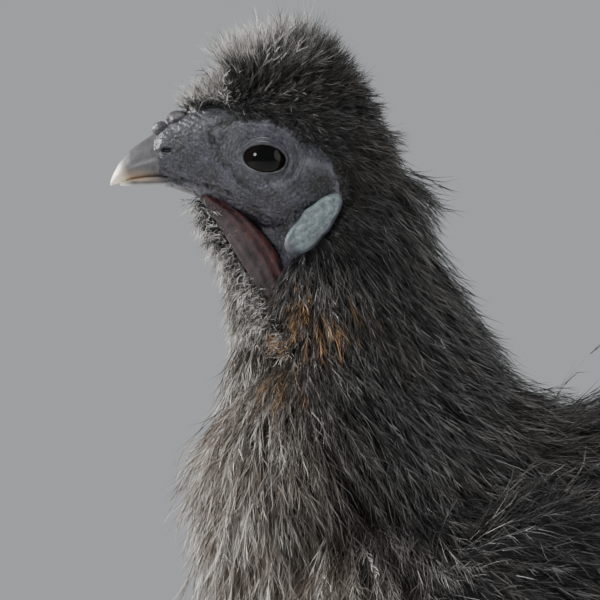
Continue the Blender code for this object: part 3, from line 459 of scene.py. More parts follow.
# %% Body lofts
def upright_rings(stations, count, around=48):
    """Level rings up a neck or throat."""
    at = np.linspace(stations[0][0], stations[-1][0], count)
    rows = through(stations, at)
    angle = np.linspace(0, math.tau, around, endpoint=False)
    rings = np.empty((count, around, 3))
    rings[..., 0] = rows[:, :1] + rows[:, 1:2] * np.cos(angle)
    rings[..., 1] = rows[:, 2:3] * np.sin(angle)
    rings[..., 2] = at[:, None]
    return rings


def lengthwise_rings(at, top, bottom, half, power, around):
    """Upright rings along a head or torso."""
    angle = np.linspace(0, math.tau, around, endpoint=False)
    c, s = squared(angle, power)
    middle, height = (top + bottom) / 2, (top - bottom) / 2
    rings = np.empty((len(at), around, 3))
    rings[..., 0] = at[:, None]
    rings[..., 1] = half[:, None] * c
    rings[..., 2] = middle[:, None] + height[:, None] * s
    return rings


at = np.linspace(TORSO[0][0], TORSO[-1][0], 60)
top, bottom, half = through(TORSO, at).T
middle = (top + bottom) / 2
shorter = at * np.where(at < 0, 1 - FRONT_DEPTH / TORSO_REACH, 1 - COAT_DEPTH / TORSO_REACH)
upper, lower = np.maximum(top - COAT_DEPTH, middle + 2), np.minimum(bottom + COAT_DEPTH, middle - 2)
torso_rings = lengthwise_rings(shorter, upper, lower, np.maximum(half - COAT_DEPTH, 3), 2.1, 64)
torso = loft("torso_skin", torso_rings)
neck = loft("neck_skin", upright_rings(NECK, 60))
throat = loft("throat_skin", upright_rings(THROAT, 40))
at = np.linspace(CREST[0][0], CREST[-1][0], 40)
centre, high, wide = through(CREST, at).T
mound = loft("mound", lengthwise_rings(at, centre + high, centre - high, wide, 2.0, 40))
gullet = ellipsoid("gullet", (-94.5, 0, 258.5), (9.5, 7.5, 9.0), -30)
tail_core = ellipsoid("tail_skin", (84, 0, 203), (18, 24, 17), -28)
limbs = [ellipsoid(f"wing_skin_{SIDE_NAMES[side]}", (-6, side * 53, 163), (52, 10, 27), 10)
         for side in SIDES]
for side in SIDES:
    hip, hock = np.array((2.0, side * 33, 104)), np.array((13.0, side * 31, 70))
    steps = np.linspace(0, 1, 12)[:, None]
    path = hip * (1 - steps) + hock * steps
    radii = 25 * (1 - steps[:, 0]) + 7.5 * steps[:, 0]
    limbs.append(tube(f"thigh_skin_{SIDE_NAMES[side]}", path, radii, 32))
crop = ellipsoid("crop", (-80.5, 0, 203), (23, 30, 37), 6)
body = join("body_skin", [torso, neck, throat, gullet, crop, mound, tail_core, *limbs])
apply_modifier(body, "REMESH", mode="VOXEL", voxel_size=BODY_VOXEL)
apply_modifier(body, "SMOOTH", factor=0.5, iterations=8)
print("body skin:", len(body.data.polygons), "faces")

# %% [markdown]
# ## The bare head
# A fine loft, with rings a little under half a millimetre apart. Its relief is added as distances from
# drawn lines: the crease before the eye, the brow, the slit of the mouth, the ear's hollow, rings of
# wrinkles round the lids and the small grains of bare skin. Distances are in the plane of the profile.

# %% Lines of the face, as x and z in mm
LORE_CREASE = ((-108.5, 285.8), (-107.7, 281.8), (-105.4, 278.2), (-102.9, 275.8), (-99.6, 271.8))
BROW_CREASE = ((-107.5, 286.2), (-102.6, 288.8), (-95.3, 289.9), (-88.8, 288.2), (-84.2, 284.4))
MOUTH_LINE = ((-123.0, 274.2), (-118.0, 273.7), (-112.0, 272.9), (-105.8, 271.2), (-103.6, 269.9))
NOSE_EDGE = ((-122.4, 281.9), (-120.9, 280.0), (-117.6, 280.2), (-114.2, 283.0), (-112.0, 287.6))
CHEEK_CREASE = ((-103.6, 270.4), (-99.0, 267.2), (-94.0, 263.6), (-89.0, 260.4))
CHEEK_FOLD = ((-100.2, 273.2), (-95.6, 269.8), (-90.6, 266.6), (-86.8, 265.0))
EAR_RIM = ((-83.6, 277.6), (-78.6, 276.8), (-76.4, 273.4), (-76.2, 270.0), (-78.4, 268.0))
EAR_HOLLOW = (-81.0, 272.0, 3.6, 2.5)  # middle, half length and half height
EAR_KNOB = (-75.9, 269.9, 1.5)  # middle and radius
NOSTRIL = (-119.6, 281.1, 1.5, 0.55)  # middle, half length and half height
BARE_FACE = (
    (-124, 264), (-124, 290.4), (-114.9, 290.3), (-110, 291.2), (-105.3, 291.6), (-100.5, 290.2),
    (-94, 289.9), (-88.5, 287.8), (-84.3, 283.4), (-80.6, 280.2), (-77.6, 277.6), (-75.4, 273.4),
    (-74.9, 270), (-78, 264.8), (-81.2, 259.4), (-87.2, 255), (-91, 252), (-98, 256), (-105, 262),
    (-112, 267.6),
)
BARE_BACK = -74.5  # no bare skin behind this x
print("outline of the bare face:", len(BARE_FACE), "points")


# %% Distances, grains and waves
def line_distance(x, z, line):
    """Distance from points to a drawn line, in mm."""
    best = np.full(np.shape(x), 1e9)
    for (ax, az), (bx, bz) in zip(line, line[1:]):
        along_x, along_z = bx - ax, bz - az
        t = np.clip(((x - ax) * along_x + (z - az) * along_z) / (along_x**2 + along_z**2), 0, 1)
        best = np.minimum(best, np.hypot(x - ax - t * along_x, z - az - t * along_z))
    return best


def inside(x, z, outline):
    """True where a point lies within a closed outline."""
    odd = np.zeros(np.shape(x), bool)
    for (ax, az), (bx, bz) in zip(outline, outline[1:] + outline[:1]):
        crosses = (az > z) != (bz > z)
        at_x = ax + (z - az) * (bx - ax) / (bz - az if bz != az else 1e-9)
        odd ^= crosses & (x < at_x)
    return odd


def eye_reach(x, z):
    """1 on the edge of the eye's opening, growing outwards, and the distance past it in mm."""
    dx, dz = x - EYE[0], z - EYE[1]
    c, s = math.cos(OPENING_TILT), math.sin(OPENING_TILT)
    u, v = (dx * c - dz * s) / OPENING[0], (dx * s + dz * c) / OPENING[1]
    ratio = np.hypot(u, v)
    return ratio, (ratio - 1) * np.hypot(dx, dz) / np.maximum(ratio, 1e-6)


def grains(x, z, size, seed):
    """Rounded grains on a jittered grid: 1 at a grain's middle, 0 between grains."""
    best = np.full(np.shape(x), 9.0)
    cell_x, cell_z = np.floor(x / size), np.floor(z / size)
    for i in (-1, 0, 1):
        for k in (-1, 0, 1):
            gx, gz = cell_x + i, cell_z + k
            jitter = np.sin(gx * 127.1 + gz * 311.7 + seed) * 43758.5453
            jitter_2 = np.sin(gx * 269.5 + gz * 183.3 + seed) * 43758.5453
            px = (gx + 0.5 + 0.7 * (jitter - np.floor(jitter) - 0.5)) * size
            pz = (gz + 0.5 + 0.7 * (jitter_2 - np.floor(jitter_2) - 0.5)) * size
            best = np.minimum(best, np.hypot(x - px, z - pz) / size)
    return 1 - ramp(best, 0.1, 0.62)


def waves(x, z, scale, seed):
    """Smooth wandering values in -1 to 1."""
    return (
        np.sin(x / scale + seed + 1.7 * np.sin(z / scale * 0.8 + seed))
        + np.sin(z / scale * 1.3 - seed * 2 + 1.3 * np.sin(x / scale * 0.9))
    ) / 2


print("distances, grains and waves ready")


# %% The relief of bare skin
def lid_swell(past):
    """The low swelling round the lids, from the distance past the eye's opening."""
    return 0.2 * np.exp(-((past - 3.2) / 2.6) ** 2)


def relief(x, z):
    """Height of the bare skin's folds and grains over the smooth head, in mm."""
    ratio, past = eye_reach(x, z)
    wander = 0.7 * waves(x, z, 2.1, 1.0) + 0.35 * waves(x, z, 0.9, 4.0)
    rings = np.sin((past + wander) * math.tau / 1.0) * ramp(past, 0.2, 1.2) * (1 - ramp(past, 6.5, 11.0))
    height = 0.15 * rings
    across_folds = 0.55 * x + 1.25 * z + 1.1 * waves(x, z, 2.8, 2.0) + 0.5 * waves(x, z, 1.1, 7.0)
    folds = np.sin(across_folds * 3.3)
    height += 0.10 * folds * ramp(past, 5.0, 8.0)
    height += lid_swell(past)
    for line, depth, width in (
        (LORE_CREASE, 0.6, 0.75), (BROW_CREASE, 0.65, 0.9), (MOUTH_LINE, 0.9, 0.42),
        (NOSE_EDGE, 0.22, 0.45), (CHEEK_CREASE, 0.3, 0.7), (CHEEK_FOLD, 0.25, 0.6),
    ):
        gap = line_distance(x + 0.5 * waves(x, z, 1.3, depth), z + 0.4 * waves(z, x, 0.8, depth * 9), line)
        uneven = 0.75 + 0.35 * waves(x, z, 1.1, depth * 5)
        height -= depth * uneven * np.exp(-((gap / width) ** 2))
        height += 0.12 * depth * np.exp(-(((gap - 2.2 * width) / width) ** 2))
    hollow = np.hypot((x - EAR_HOLLOW[0]) / EAR_HOLLOW[2], (z - EAR_HOLLOW[1]) / EAR_HOLLOW[3])
    height -= 0.95 * (0.8 + 0.3 * waves(x, z, 0.8, 5.0)) * (1 - ramp(hollow, 0.1, 1.35))
    height += 0.9 * np.exp(-((line_distance(x, z, EAR_RIM) / 0.9) ** 2))
    height += 0.8 * np.exp(-((np.hypot(x - EAR_KNOB[0], z - EAR_KNOB[1]) / EAR_KNOB[2]) ** 2))
    slit = np.hypot((x - NOSTRIL[0]) / NOSTRIL[2], (z - NOSTRIL[1]) / NOSTRIL[3])
    height -= 1.2 * (1 - ramp(slit, 0.5, 1.3))
    height += 0.15 * (grains(x, z, 0.95, 3.0) - 0.4) + 0.15 * (grains(x * 1.3, z, 0.62, 8.0) - 0.4)
    height += 0.12 * waves(x, z, 1.6, 9.0)
    return height


# %% [markdown]
# The relief is then pushed out along the smooth head's own normals, most on the sides, where it was
# drawn. Round the eye the surface leaves the loft and follows the eyeball instead, so that the lids hug
# the ball and the opening sinks behind it.

# %% Head mesh
at = np.linspace(HEAD[0][0], HEAD[-1][0], 138)
top, bottom, half = through(HEAD, at).T
tuck = 0.86 + 0.14 * ramp(at, at[0], at[0] + 2.4)
middle = (top + bottom) / 2
top, bottom, half = middle + (top - middle) * tuck, middle + (bottom - middle) * tuck, half * tuck
rings = lengthwise_rings(at, top, bottom, np.maximum(half, 2.0), HEAD_POWER, 200)
x, y, z = rings[..., 0], rings[..., 1], rings[..., 2]
height = relief(x, z)
sideways = ramp(np.abs(y) / half[:, None], 0.25, 0.7)
ends = ramp(at, at[0], at[0] + 1.5) * (1 - ramp(at, at[-1] - 4, at[-1]))
pushed = height * ends[:, None]
middle = ((top + bottom) / 2)[:, None]
up_part = (z - middle) / ((top - bottom)[:, None] / 2) ** 2
outward = np.stack([np.zeros_like(x), y / half[:, None] ** 2, up_part], -1)
outward /= np.linalg.norm(outward, axis=-1)[..., None]
rings += outward * (pushed * (0.35 + 0.65 * sideways))[..., None]
ratio, past = eye_reach(x, z)
from_centre = np.hypot(x - EYE[0], z - EYE[1])
ball_side = EYE_SIDE + np.sqrt(np.maximum((EYEBALL + 0.35) ** 2 - np.minimum(from_centre, 6.2) ** 2, 0))
blend = ramp(past, 0.0, 4.2)
lid_side = ball_side * (1 - blend) + np.abs(rings[..., 1]) * blend
lid_side = lid_side + 0.5 * np.exp(-((past - 0.9) / 0.7) ** 2)
lid_side += (1 - blend) * 0.7 * (height - lid_swell(past)) * ramp(past, 0.2, 1.0)
lid_side = np.where(ratio < 1, ball_side - 2.2 * ramp(1 - ratio, 0.0, 0.16), lid_side)
near_eye = (past < 4.2) & (np.abs(y) > 4)
rings[..., 1] = np.where(near_eye, np.sign(y) * lid_side, rings[..., 1])
head = loft("head_skin", rings)
print("head skin:", len(head.data.polygons), "faces")
print("relief from", round(height.min(), 2), "to", round(height.max(), 2), "mm")

# %% [markdown]
# Head and body become one closed skin by a Boolean union. It is unwrapped, because each plume's patch in
# the OFBake map lies at its root's place on it, and every point stores whether it is bare and how deep it
# lies in the folds, for the material to read.

# %% One skin
skin = head
apply_modifier(skin, "BOOLEAN", operation="UNION", solver="MANIFOLD", object=body)
bpy.data.objects.remove(body)
skin.name = "skin"
apply_modifier(skin, "TRIANGULATE")
bpy.ops.object.mode_set(mode="EDIT")
bpy.ops.mesh.select_all(action="SELECT")
bpy.ops.uv.smart_project(angle_limit=math.radians(66), island_margin=0.002)
bpy.ops.object.mode_set(mode="OBJECT")
skin.data.shade_smooth()
points = vertex_array(skin.data) / MM
bare = inside(points[:, 0], points[:, 2], BARE_FACE) & (points[:, 0] < BARE_BACK)
# The face material paints shade into the creases and a highlight onto the crests from these fold depths.
folds = np.clip(0.5 + relief(points[:, 0], points[:, 2]) / 0.9, 0, 1)
for name, values in (("bare", bare.astype(float)), ("fold", folds)):
    layer = skin.data.attributes.new(name, "FLOAT", "POINT")
    layer.data.foreach_set("value", values.astype(np.float32))
print("skin:", len(skin.data.polygons), "triangles,", int(bare.sum()), "bare points")

# %% [markdown]
# ## Eyes and lids
# The eyeball fills the opening, nearly black and wet. A rim follows the whole opening on the ball's own
# curve, thicker above, with a fold over the upper lid and a slighter one under the lower.

# %% Eyes and lids
def round_eye(side, grow, lift, start=0.0, end=math.tau, count=72):
    """Points round the eye's opening, grown by a factor and lifted off the ball, in mm."""
    angle = np.linspace(start, end, count, endpoint=end - start < math.tau - 1e-6)
    u, v = OPENING[0] * grow * np.cos(angle), OPENING[1] * grow * np.sin(angle)
    c, s = math.cos(OPENING_TILT), math.sin(OPENING_TILT)
    dx, dz = u * c + v * s, -u * s + v * c
    out = EYE_SIDE + np.sqrt(np.maximum((EYEBALL + lift) ** 2 - dx**2 - dz**2, 4.0))
    return np.stack([EYE[0] + dx, side * out, EYE[1] + dz], 1), angle


eyes, lids = {}, []
for side in SIDES:
    label = SIDE_NAMES[side]
    eyes[side] = ellipsoid(f"eyeball_{label}", (EYE[0], side * EYE_SIDE, EYE[1]), (EYEBALL,) * 3)
    path, angle = round_eye(side, 1.03, 0.25)
    thick = 0.42 + 0.16 * np.maximum(np.sin(angle), 0)
    rim = tube("rim", path, thick, 12, closed=True)
    path, angle = round_eye(side, 1.3, 0.35, math.radians(8), math.radians(172), 48)
    fold = tube("fold", path, 0.12 + 0.5 * np.sin(np.linspace(0, math.pi, 48)) ** 0.7, 12)
    path, angle = round_eye(side, 1.27, 0.2, math.radians(196), math.radians(344), 48)
    bag = tube("bag", path, 0.1 + 0.36 * np.sin(np.linspace(0, math.pi, 48)) ** 0.7, 12)
    lids.append(join(f"lids_{label}", [rim, fold, bag]))
print("eyes:", [o.name for o in eyes.values()], "lids:", [o.name for o in lids])

# %% [markdown]
# ## Bill
# Upper and lower halves as lofts. The upper one has a ridge along its top and hooks a little over the
# lower at the tip.

# %% Bill
# Each station: x, top, bottom, half width.
UPPER_BILL = (
    (-117.5, 285.6, 273.8, 5.2), (-120.0, 286.1, 273.6, 5.9), (-122.6, 285.4, 273.5, 5.7),
    (-125.6, 283.5, 273.5, 4.7), (-129.3, 280.6, 273.3, 3.3), (-131.9, 277.2, 272.9, 2.0),
    (-133.1, 274.8, 272.5, 1.0), (-133.6, 273.4, 272.2, 0.4),
)
LOWER_BILL = (
    (-117.5, 275.0, 272.7, 3.6), (-120.0, 275.0, 272.4, 4.6), (-122.6, 274.9, 272.3, 4.9),
    (-126.3, 274.5, 272.3, 3.9), (-129.6, 273.9, 272.3, 2.2), (-131.2, 273.4, 272.4, 0.9),
)


def bill_half(name, stations, ridge):
    """One half of the bill; ridge is how much the section narrows towards its top."""
    at = np.linspace(stations[0][0], min(s[0] for s in stations), 60)
    rows = through(stations, at)
    top, bottom, half = rows.T
    rings = lengthwise_rings(at, top, bottom, half, 2.4, 48)
    middle, high = ((top + bottom) / 2)[:, None], ((top - bottom) / 2)[:, None]
    up = (rings[..., 2] - middle) / np.maximum(high, 0.1)
    rings[..., 1] *= 1 - ridge * ramp(up, -0.3, 1.0)
    rings[..., 1] += 0.02 * np.sin(rings[..., 2] * 9 + rings[..., 0] * 2.5) * np.sign(rings[..., 1])
    return loft(name, rings)


upper_bill = bill_half("upper_bill", UPPER_BILL, 0.45)
lower_bill = bill_half("lower_bill", LOWER_BILL, -0.1)
print("bill:", len(upper_bill.data.polygons) + len(lower_bill.data.polygons), "faces")

# %% [markdown]
# ## Comb, earlobes and wattles
# A walnut comb is low and lumpy. Here it is three lumps set with small warts, fused by a voxel remesh,
# because warts that only touch would leave gaps. Each earlobe is a thin wrinkled oval, and each wattle a
# long narrow fold down the side of the throat.

# %% Comb
WALNUT_LUMPS = (  # middle x and z, three radii, number of warts
    (-120.8, 286.1, 2.6, 2.5, 2.1, 16), (-115.6, 288.0, 4.3, 3.6, 2.9, 38),
    (-109.2, 289.8, 5.4, 5.0, 3.5, 50),
)
COMB_TILT = 24
COMB_VOXEL = 0.00028  # metres
WART_REACH = 0.93  # how far out on its lump a wart's middle sits

draw = random.Random(7)
warts = []
for middle_x, middle_z, long, wide, high, count in WALNUT_LUMPS:
    warts.append(ellipsoid("lump", (middle_x, 0, middle_z), (long, wide, high), COMB_TILT))
    for k in range(count):
        across, up = draw.uniform(-1.4, 1.4), draw.uniform(-0.1, 1.0) * math.pi
        spot = (
            middle_x + long * WART_REACH * math.cos(across) * math.cos(up),
            wide * WART_REACH * math.sin(across),
            middle_z + high * WART_REACH * math.cos(across) * abs(math.sin(up)),
        )
        r = draw.uniform(0.35, 0.75)
        warts.append(ellipsoid("wart", spot, (r * 1.3, r, r * 0.7), COMB_TILT))
comb = join("comb_lobes", warts)
apply_modifier(comb, "REMESH", mode="VOXEL", voxel_size=COMB_VOXEL)
apply_modifier(comb, "SMOOTH", factor=0.5, iterations=7)
comb.data.shade_smooth()
print("comb:", len(comb.data.polygons), "faces")


# %% Earlobes
EARLOBE = ((-83.0, 15.6, 262.2), (9.4, 1.6, 3.9), -46.0)  # middle, radii, tilt


def earlobe(side):
    """A thin oval with a wrinkled outer face, a raised rim and a ragged outline."""
    (cx, cy, cz), radii, tilt = EARLOBE
    lobe = ellipsoid(f"lobe_{SIDE_NAMES[side]}", (cx, side * cy, cz), radii, tilt)
    apply_modifier(lobe, "SUBSURF", levels=2, render_levels=2)
    points = vertex_array(lobe.data) / MM
    a = math.radians(tilt)
    along = (points[:, 0] - cx) * math.cos(a) - (points[:, 2] - cz) * math.sin(a)
    across = (points[:, 0] - cx) * math.sin(a) + (points[:, 2] - cz) * math.cos(a)
    rim = np.hypot(along / radii[0], across / radii[2])
    wander = 0.9 * waves(along, across, 1.7, 3.0)
    wrinkle = 0.16 * np.abs(np.sin(across * 1.5 + 0.35 * along + wander))
    wrinkle = wrinkle + 0.13 * np.abs(np.sin(along * 1.1 - wander))
    wrinkle += 0.05 * waves(along, across, 0.5, 2.0) + 0.04 * grains(along, across, 0.6, 2.0)
    wrinkle = wrinkle * (1 - ramp(rim, 0.8, 1.0)) + 0.3 * np.exp(-(((rim - 0.86) / 0.1) ** 2))
    points[:, 1] += side * wrinkle * ramp(side * (points[:, 1] - side * cy), 0.0, 0.5)
    turn = np.arctan2(across, along)
    ragged = 1 + 0.05 * np.sin(turn * 5 + 1) + 0.05 * np.sin(turn * 2 + 0.5)
    points[:, 0] = cx + (points[:, 0] - cx) * ragged
    points[:, 2] = cz + (points[:, 2] - cz) * ragged
    set_vertices(lobe.data, points * MM)
    return lobe


print("earlobe, middle, radii and tilt:", EARLOBE)


# %% Wattles
WATTLE = (  # x, y, z, half width and half thickness, from the corner of the bill down
    (-110.6, 4.4, 269.4, 0.9, 0.6), (-107.2, 5.7, 267.0, 1.9, 0.9), (-103.2, 7.2, 263.2, 2.9, 1.2),
    (-99.7, 8.4, 258.8, 3.6, 1.4), (-95.6, 9.1, 253.0, 3.9, 1.5), (-92.8, 9.7, 246.8, 2.9, 1.4),
    (-91.4, 10.1, 242.4, 1.2, 0.8),
)


def wattle(side):
    """A pleated fold that stores how far across it each point lies, for its two colours."""
    at = np.linspace(0, len(WATTLE) - 1, 80)
    rows = through([(k, *row) for k, row in enumerate(WATTLE)], at)
    path = rows[:, :3] * (1, side, 1)
    fold = tube(f"wattle_fold_{SIDE_NAMES[side]}", path, rows[:, 3] * 1.12, 72, flat=rows[:, 4])
    points = vertex_array(fold.data) / MM
    px, pz = points[:, 0], points[:, 2]
    nearest = np.argmin(np.hypot(px[:, None] - path[:, 0], pz[:, None] - path[:, 2]), 1)
    across = (px - path[nearest, 0]) * 0.86 + (pz - path[nearest, 2]) * 0.5
    share = across / np.maximum(rows[nearest, 3], 0.5)
    pleat = np.sin(across * 2.4 + 0.9 * waves(px, pz, 3.4, 3.0)) * (1 - ramp(np.abs(share), 0.7, 1.1))
    points[:, 1] += side * (0.24 * pleat + 0.16 * waves(px, pz, 1.3, 2.0) + 0.14 * grains(px, pz, 0.8, 5.0))
    set_vertices(fold.data, points * MM)
    layer = fold.data.attributes.new("across", "FLOAT", "POINT")
    layer.data.foreach_set("value", np.clip(0.5 + 0.5 * share, 0, 1).astype(np.float32))
    return fold


lobes, wattles = [], []
for side in SIDES:
    lobes.append(earlobe(side))
    wattles.append(wattle(side))
print("earlobes and wattles:", [o.name for o in lobes + wattles])

# %% [markdown]
# ## Legs and claws
# Shanks and toes carry overlapping scutes, so each is a tube whose radius swells along every scute and
# drops at the next. The claws curve down to the floor. Points that would sink into it are lifted.

# %% Legs
# Each toe: name, heading in degrees from straight ahead, length and radius in mm.
TOES = (("inner", -30, 33, 3.6), ("middle", 4, 44, 4.0), ("outer", 36, 35, 3.6), ("hind", 172, 17, 3.0))
FIFTH = ("fifth", -150, 19, 2.9)
CLAW = 9.0
FLOOR_LIFT = 0.00005  # metres


def leg_joints(side):
    """The middle of the foot and the hock, in mm."""
    return np.array((-4.0, side * 31, 10.0)), np.array((13.0, side * 31, 72.0))


def scuted(name, path, radii, step):
    """A limb with overlapping scutes along it."""
    path, radii = np.asarray(path, float), np.asarray(radii, float)
    spans = np.linalg.norm(np.diff(path, axis=0), axis=1)
    run = np.concatenate([[0], np.cumsum(spans)])
    fine = np.arange(0, run[-1], 0.3)
    rows = through([(r, *p, q) for r, p, q in zip(run, path, radii)], fine)
    phase = (fine / step) % 1.0
    swell = 1 + 0.07 * phase**2 - 0.03
    ends = np.sqrt(np.clip(np.minimum(fine, fine[-1] - fine) / 1.2, 0.05, 1))
    return tube(name, rows[:, :3], rows[:, 3] * swell * ends, 24)


def claw_of(toe, side, curve, radius, t):
    """A claw that tapers along its curve."""
    taper = radius * 0.6 * (1 - t) ** 0.75 + 0.12
    return tube(f"{toe}_{SIDE_NAMES[side]}_claw", curve, taper, 16)


def floor_toe(side, hub, toe, heading, length, radius):
    """A toe along the floor, and its claw."""
    a = math.radians(heading)
    way = np.array((-math.cos(a), side * math.sin(a), 0.0))
    start = hub - (0, 0, 3)
    low = radius * 0.92
    path = [
        start, start + way * length * 0.3 + (0, 0, low * 1.25 - start[2]),
        start + way * length * 0.68 + (0, 0, low - start[2]),
        start + way * length + (0, 0, low * 0.85 - start[2]),
    ]
    made = scuted("toe", path, (radius * 1.1, radius, radius * 0.95, radius * 0.74), 2.6)
    end = path[-1]
    t = np.linspace(0, 1, 16)
    curve = end + way * (CLAW * t - 2)[:, None]
    curve[:, 2] = end[2] + 1.3 * np.sin(t * math.pi * 0.9) - (end[2] - 0.5) * t**2
    return made, claw_of(toe, side, curve, radius, t)


def fifth_toe(side, hub, toe, heading, length, radius):
    """The breed's extra toe, which points up and back and never touches the floor, and its claw."""
    a = math.radians(heading)
    way = np.array((-math.cos(a), side * math.sin(a), 0.75))
    way /= np.linalg.norm(way)
    start = hub + (3, 0, 1)
    path = [start, start + way * length * 0.5, start + way * length + (0, 0, 1.5)]
    made = scuted("toe", path, (radius, radius * 0.95, radius * 0.7), 2.4)
    t = np.linspace(0, 1, 16)
    curve = path[-1] + way * (CLAW * t - 2)[:, None]
    curve[:, 2] += 1.5 * t**2
    return made, claw_of(toe, side, curve, radius, t)


def keep_above_floor(made):
    points = vertex_array(made.data)
    points[:, 2] = np.maximum(points[:, 2], FLOOR_LIFT)
    set_vertices(made.data, points)


legs, feet, claws = [], [], []
for side in SIDES:
    hub, hock = leg_joints(side)
    path = [hock + (2, 0, 6), hock, (hock + hub) / 2 + (-0.6, 0, 0), hub + (0.6, 0, 3), hub]
    legs.append(scuted(f"shank_scales_{SIDE_NAMES[side]}", path, (5.6, 5.4, 4.5, 4.8, 5.0), 3.2))
    parts = [ellipsoid("hub", hub - (0, 0, 3.0), (7.2, 6.2, 5.6))]
    made_toes = [floor_toe(side, hub, *row) for row in TOES] + [fifth_toe(side, hub, *FIFTH)]
    for toe, claw in made_toes:
        parts.append(toe)
        claws.append(claw)
    feet.append(join(f"foot_scales_{SIDE_NAMES[side]}", parts))
for made in feet + claws:
    keep_above_floor(made)
print("legs:", len(legs), "feet:", len(feet), "claws:", len(claws))

# %% [markdown]
# ## Materials of the bare parts
# Bare skin on a silkie is slate to black. Each finish is a formula over the place on the hen or over the
# stored folds: the creases are darkened as painted shade, and the crests of the folds get a paler grey as
# a painted highlight. The coat's markings are a formula too, shared with the skin under it, so that no
# other colour shows between the plumes.

# %% Markings, bare skin and comb
# The colour of pale tips: the plumes' own pale ends, and the painted highlight on the front edge, the fringe
# and the crest.
PALE = (0.52, 0.50, 0.475)
OCHRE = (0.30, 0.16, 0.05)


def markings(finish, pos):
    """The coat's colour by place, shared by the skin under it: charcoal, with a taupe breast."""
    x, y, z = finish.split(pos)
    front = (0.0 - x) + (0.215 - z) * 0.45
    edge = finish.noise(pos, 60.0) * 0.02
    share = (front + edge).smooth(0.074, 0.130)
    return share * z.smooth(0.262, 0.235) * z.smooth(0.060, 0.110)


def mottled(name, scale, detail, spread, dark, light, **constants):
    """A finish that wanders between a dark and a light shade, and the place it reads."""
    finish = Finish(name, **constants)
    pos = finish.place()
    patches = finish.noise(pos, scale, detail).smooth(*spread)
    finish.feed("Base Color", finish.mix(patches, dark, light))
    return finish, pos


face = Finish("bare_face", Roughness=0.46, Specular_IOR_Level=0.38)
pos = face.place()
fold = face.attribute("fold")
mottle = face.noise(pos, 220.0, 5.0)
slate = face.mix(mottle.smooth(0.35, 0.68), (0.010, 0.010, 0.015), (0.030, 0.028, 0.043))
slate = face.mix(face.noise(pos, 70.0).smooth(0.45, 0.7), slate, (0.027, 0.029, 0.034))
# Painted shade: the creases of the bare skin turn nearly black.
bare_shade_and_highlight = face.mix(fold.smooth(0.15, 0.62), (0.004, 0.004, 0.005), slate)
# Painted highlight: the crests of the folds turn a paler grey.
bare_shade_and_highlight = face.mix(fold.smooth(0.62, 1.0) * 0.5, bare_shade_and_highlight, (0.085, 0.085, 0.10))
flecks = 1 - face.cells(pos, 1500.0).smooth(0.12, 0.55)
bare_shade_and_highlight = face.mix(flecks * (0.2 + mottle * 0.5), bare_shade_and_highlight, (0.075, 0.073, 0.088))
under = face.mix(markings(face, pos), (0.006, 0.006, 0.007), (0.026, 0.022, 0.020))
face.feed("Base Color", face.mix(face.attribute("bare"), under, bare_shade_and_highlight))
face.feed("Roughness", 0.96 - face.attribute("bare") * (0.44 + mottle * 0.18))
face.bump(face.noise(pos, 2600.0, 3.0) * 0.6 + face.cells(pos, 1100.0) * 0.9, 0.8, 0.00022)

walnut, pos = mottled("walnut_comb", 500.0, 3.0, (0.35, 0.7), (0.012, 0.011, 0.014), (0.036, 0.032, 0.038),
                      Roughness=0.5, Specular_IOR_Level=0.4)
walnut.bump(walnut.noise(pos, 1800.0), 0.5, 0.0002)

# %% Earlobes and wattles, in two colours each
ear = Finish("turquoise_lobe", Roughness=0.5)
pos = ear.place()
x, y, z = ear.split(pos)
forth, down = x - EARLOBE[0][0] * MM, EARLOBE[0][2] * MM - z
rear = (forth * 0.764 + down * 0.645).smooth(0.0018, 0.0036)
lower_end = (forth * -0.695 + down * 0.719 + ear.noise(pos, 500.0) * 0.0016).smooth(0.0066, 0.0086)
blue = ear.mix(ear.noise(pos, 700.0, 4.0).smooth(0.3, 0.7), (0.050, 0.070, 0.078), (0.135, 0.165, 0.165))
blue = ear.mix(ear.noise(pos, 1500.0, 2.0).smooth(0.5, 0.72) * 0.7, blue, (0.035, 0.045, 0.055))
blue = ear.mix(ear.noise(pos, 260.0).smooth(0.5, 0.75), blue, (0.07, 0.08, 0.10))
blue = ear.mix(lower_end, blue, (0.036, 0.040, 0.052))
ear.feed("Base Color", ear.mix(rear, blue, (0.05, 0.052, 0.064)))
ear.bump(ear.noise(pos, 1300.0), 0.8, 0.0003)

red = Finish("dark_red_wattle", Roughness=0.55, Specular_IOR_Level=0.35)
pos = red.place()
mottle = red.noise(pos, 500.0, 4.0).smooth(0.35, 0.7)
rear = red.mix(mottle, (0.014, 0.004, 0.005), (0.052, 0.011, 0.011))
front = red.mix(mottle, (0.016, 0.011, 0.012), (0.042, 0.026, 0.027))
red.feed("Base Color", red.mix(red.attribute("across").smooth(0.3, 0.85), front, rear))
red.bump(red.noise(pos, 1500.0), 0.6, 0.00025)

# %% [markdown]
# The bill is dark horn with a pale tip and a pale lower edge. The eye is a wet, nearly black ball: its
# pupil, iris and rim are rings about the middle of the opening. Lids and scales are mottled skin.

# %% Horn, eyes, lids, scales and claws
horn = Finish("bill_horn", Roughness=0.42)
pos = horn.place()
x, y, z = horn.split(pos)
forth = x * -1.0
tip = (forth + (0.278 - z) * 0.5).smooth(0.1298, 0.1352)
lower_edge = (z + (x + 0.1336) * 0.12).smooth(0.2780, 0.2740)
lower_edge = lower_edge * forth.smooth(0.119, 0.126) * z.smooth(0.2730, 0.2737)
dark = horn.mix(horn.noise(pos, 300.0, 4.0).smooth(0.3, 0.7), (0.022, 0.022, 0.026), (0.058, 0.055, 0.058))
body_horn = horn.mix(lower_edge * 0.8, dark, (0.24, 0.165, 0.105))
horn.feed("Base Color", horn.mix(tip, body_horn, (0.62, 0.56, 0.44)))
horn.bump(horn.noise(pos, 1200.0), 0.25, 0.00015)

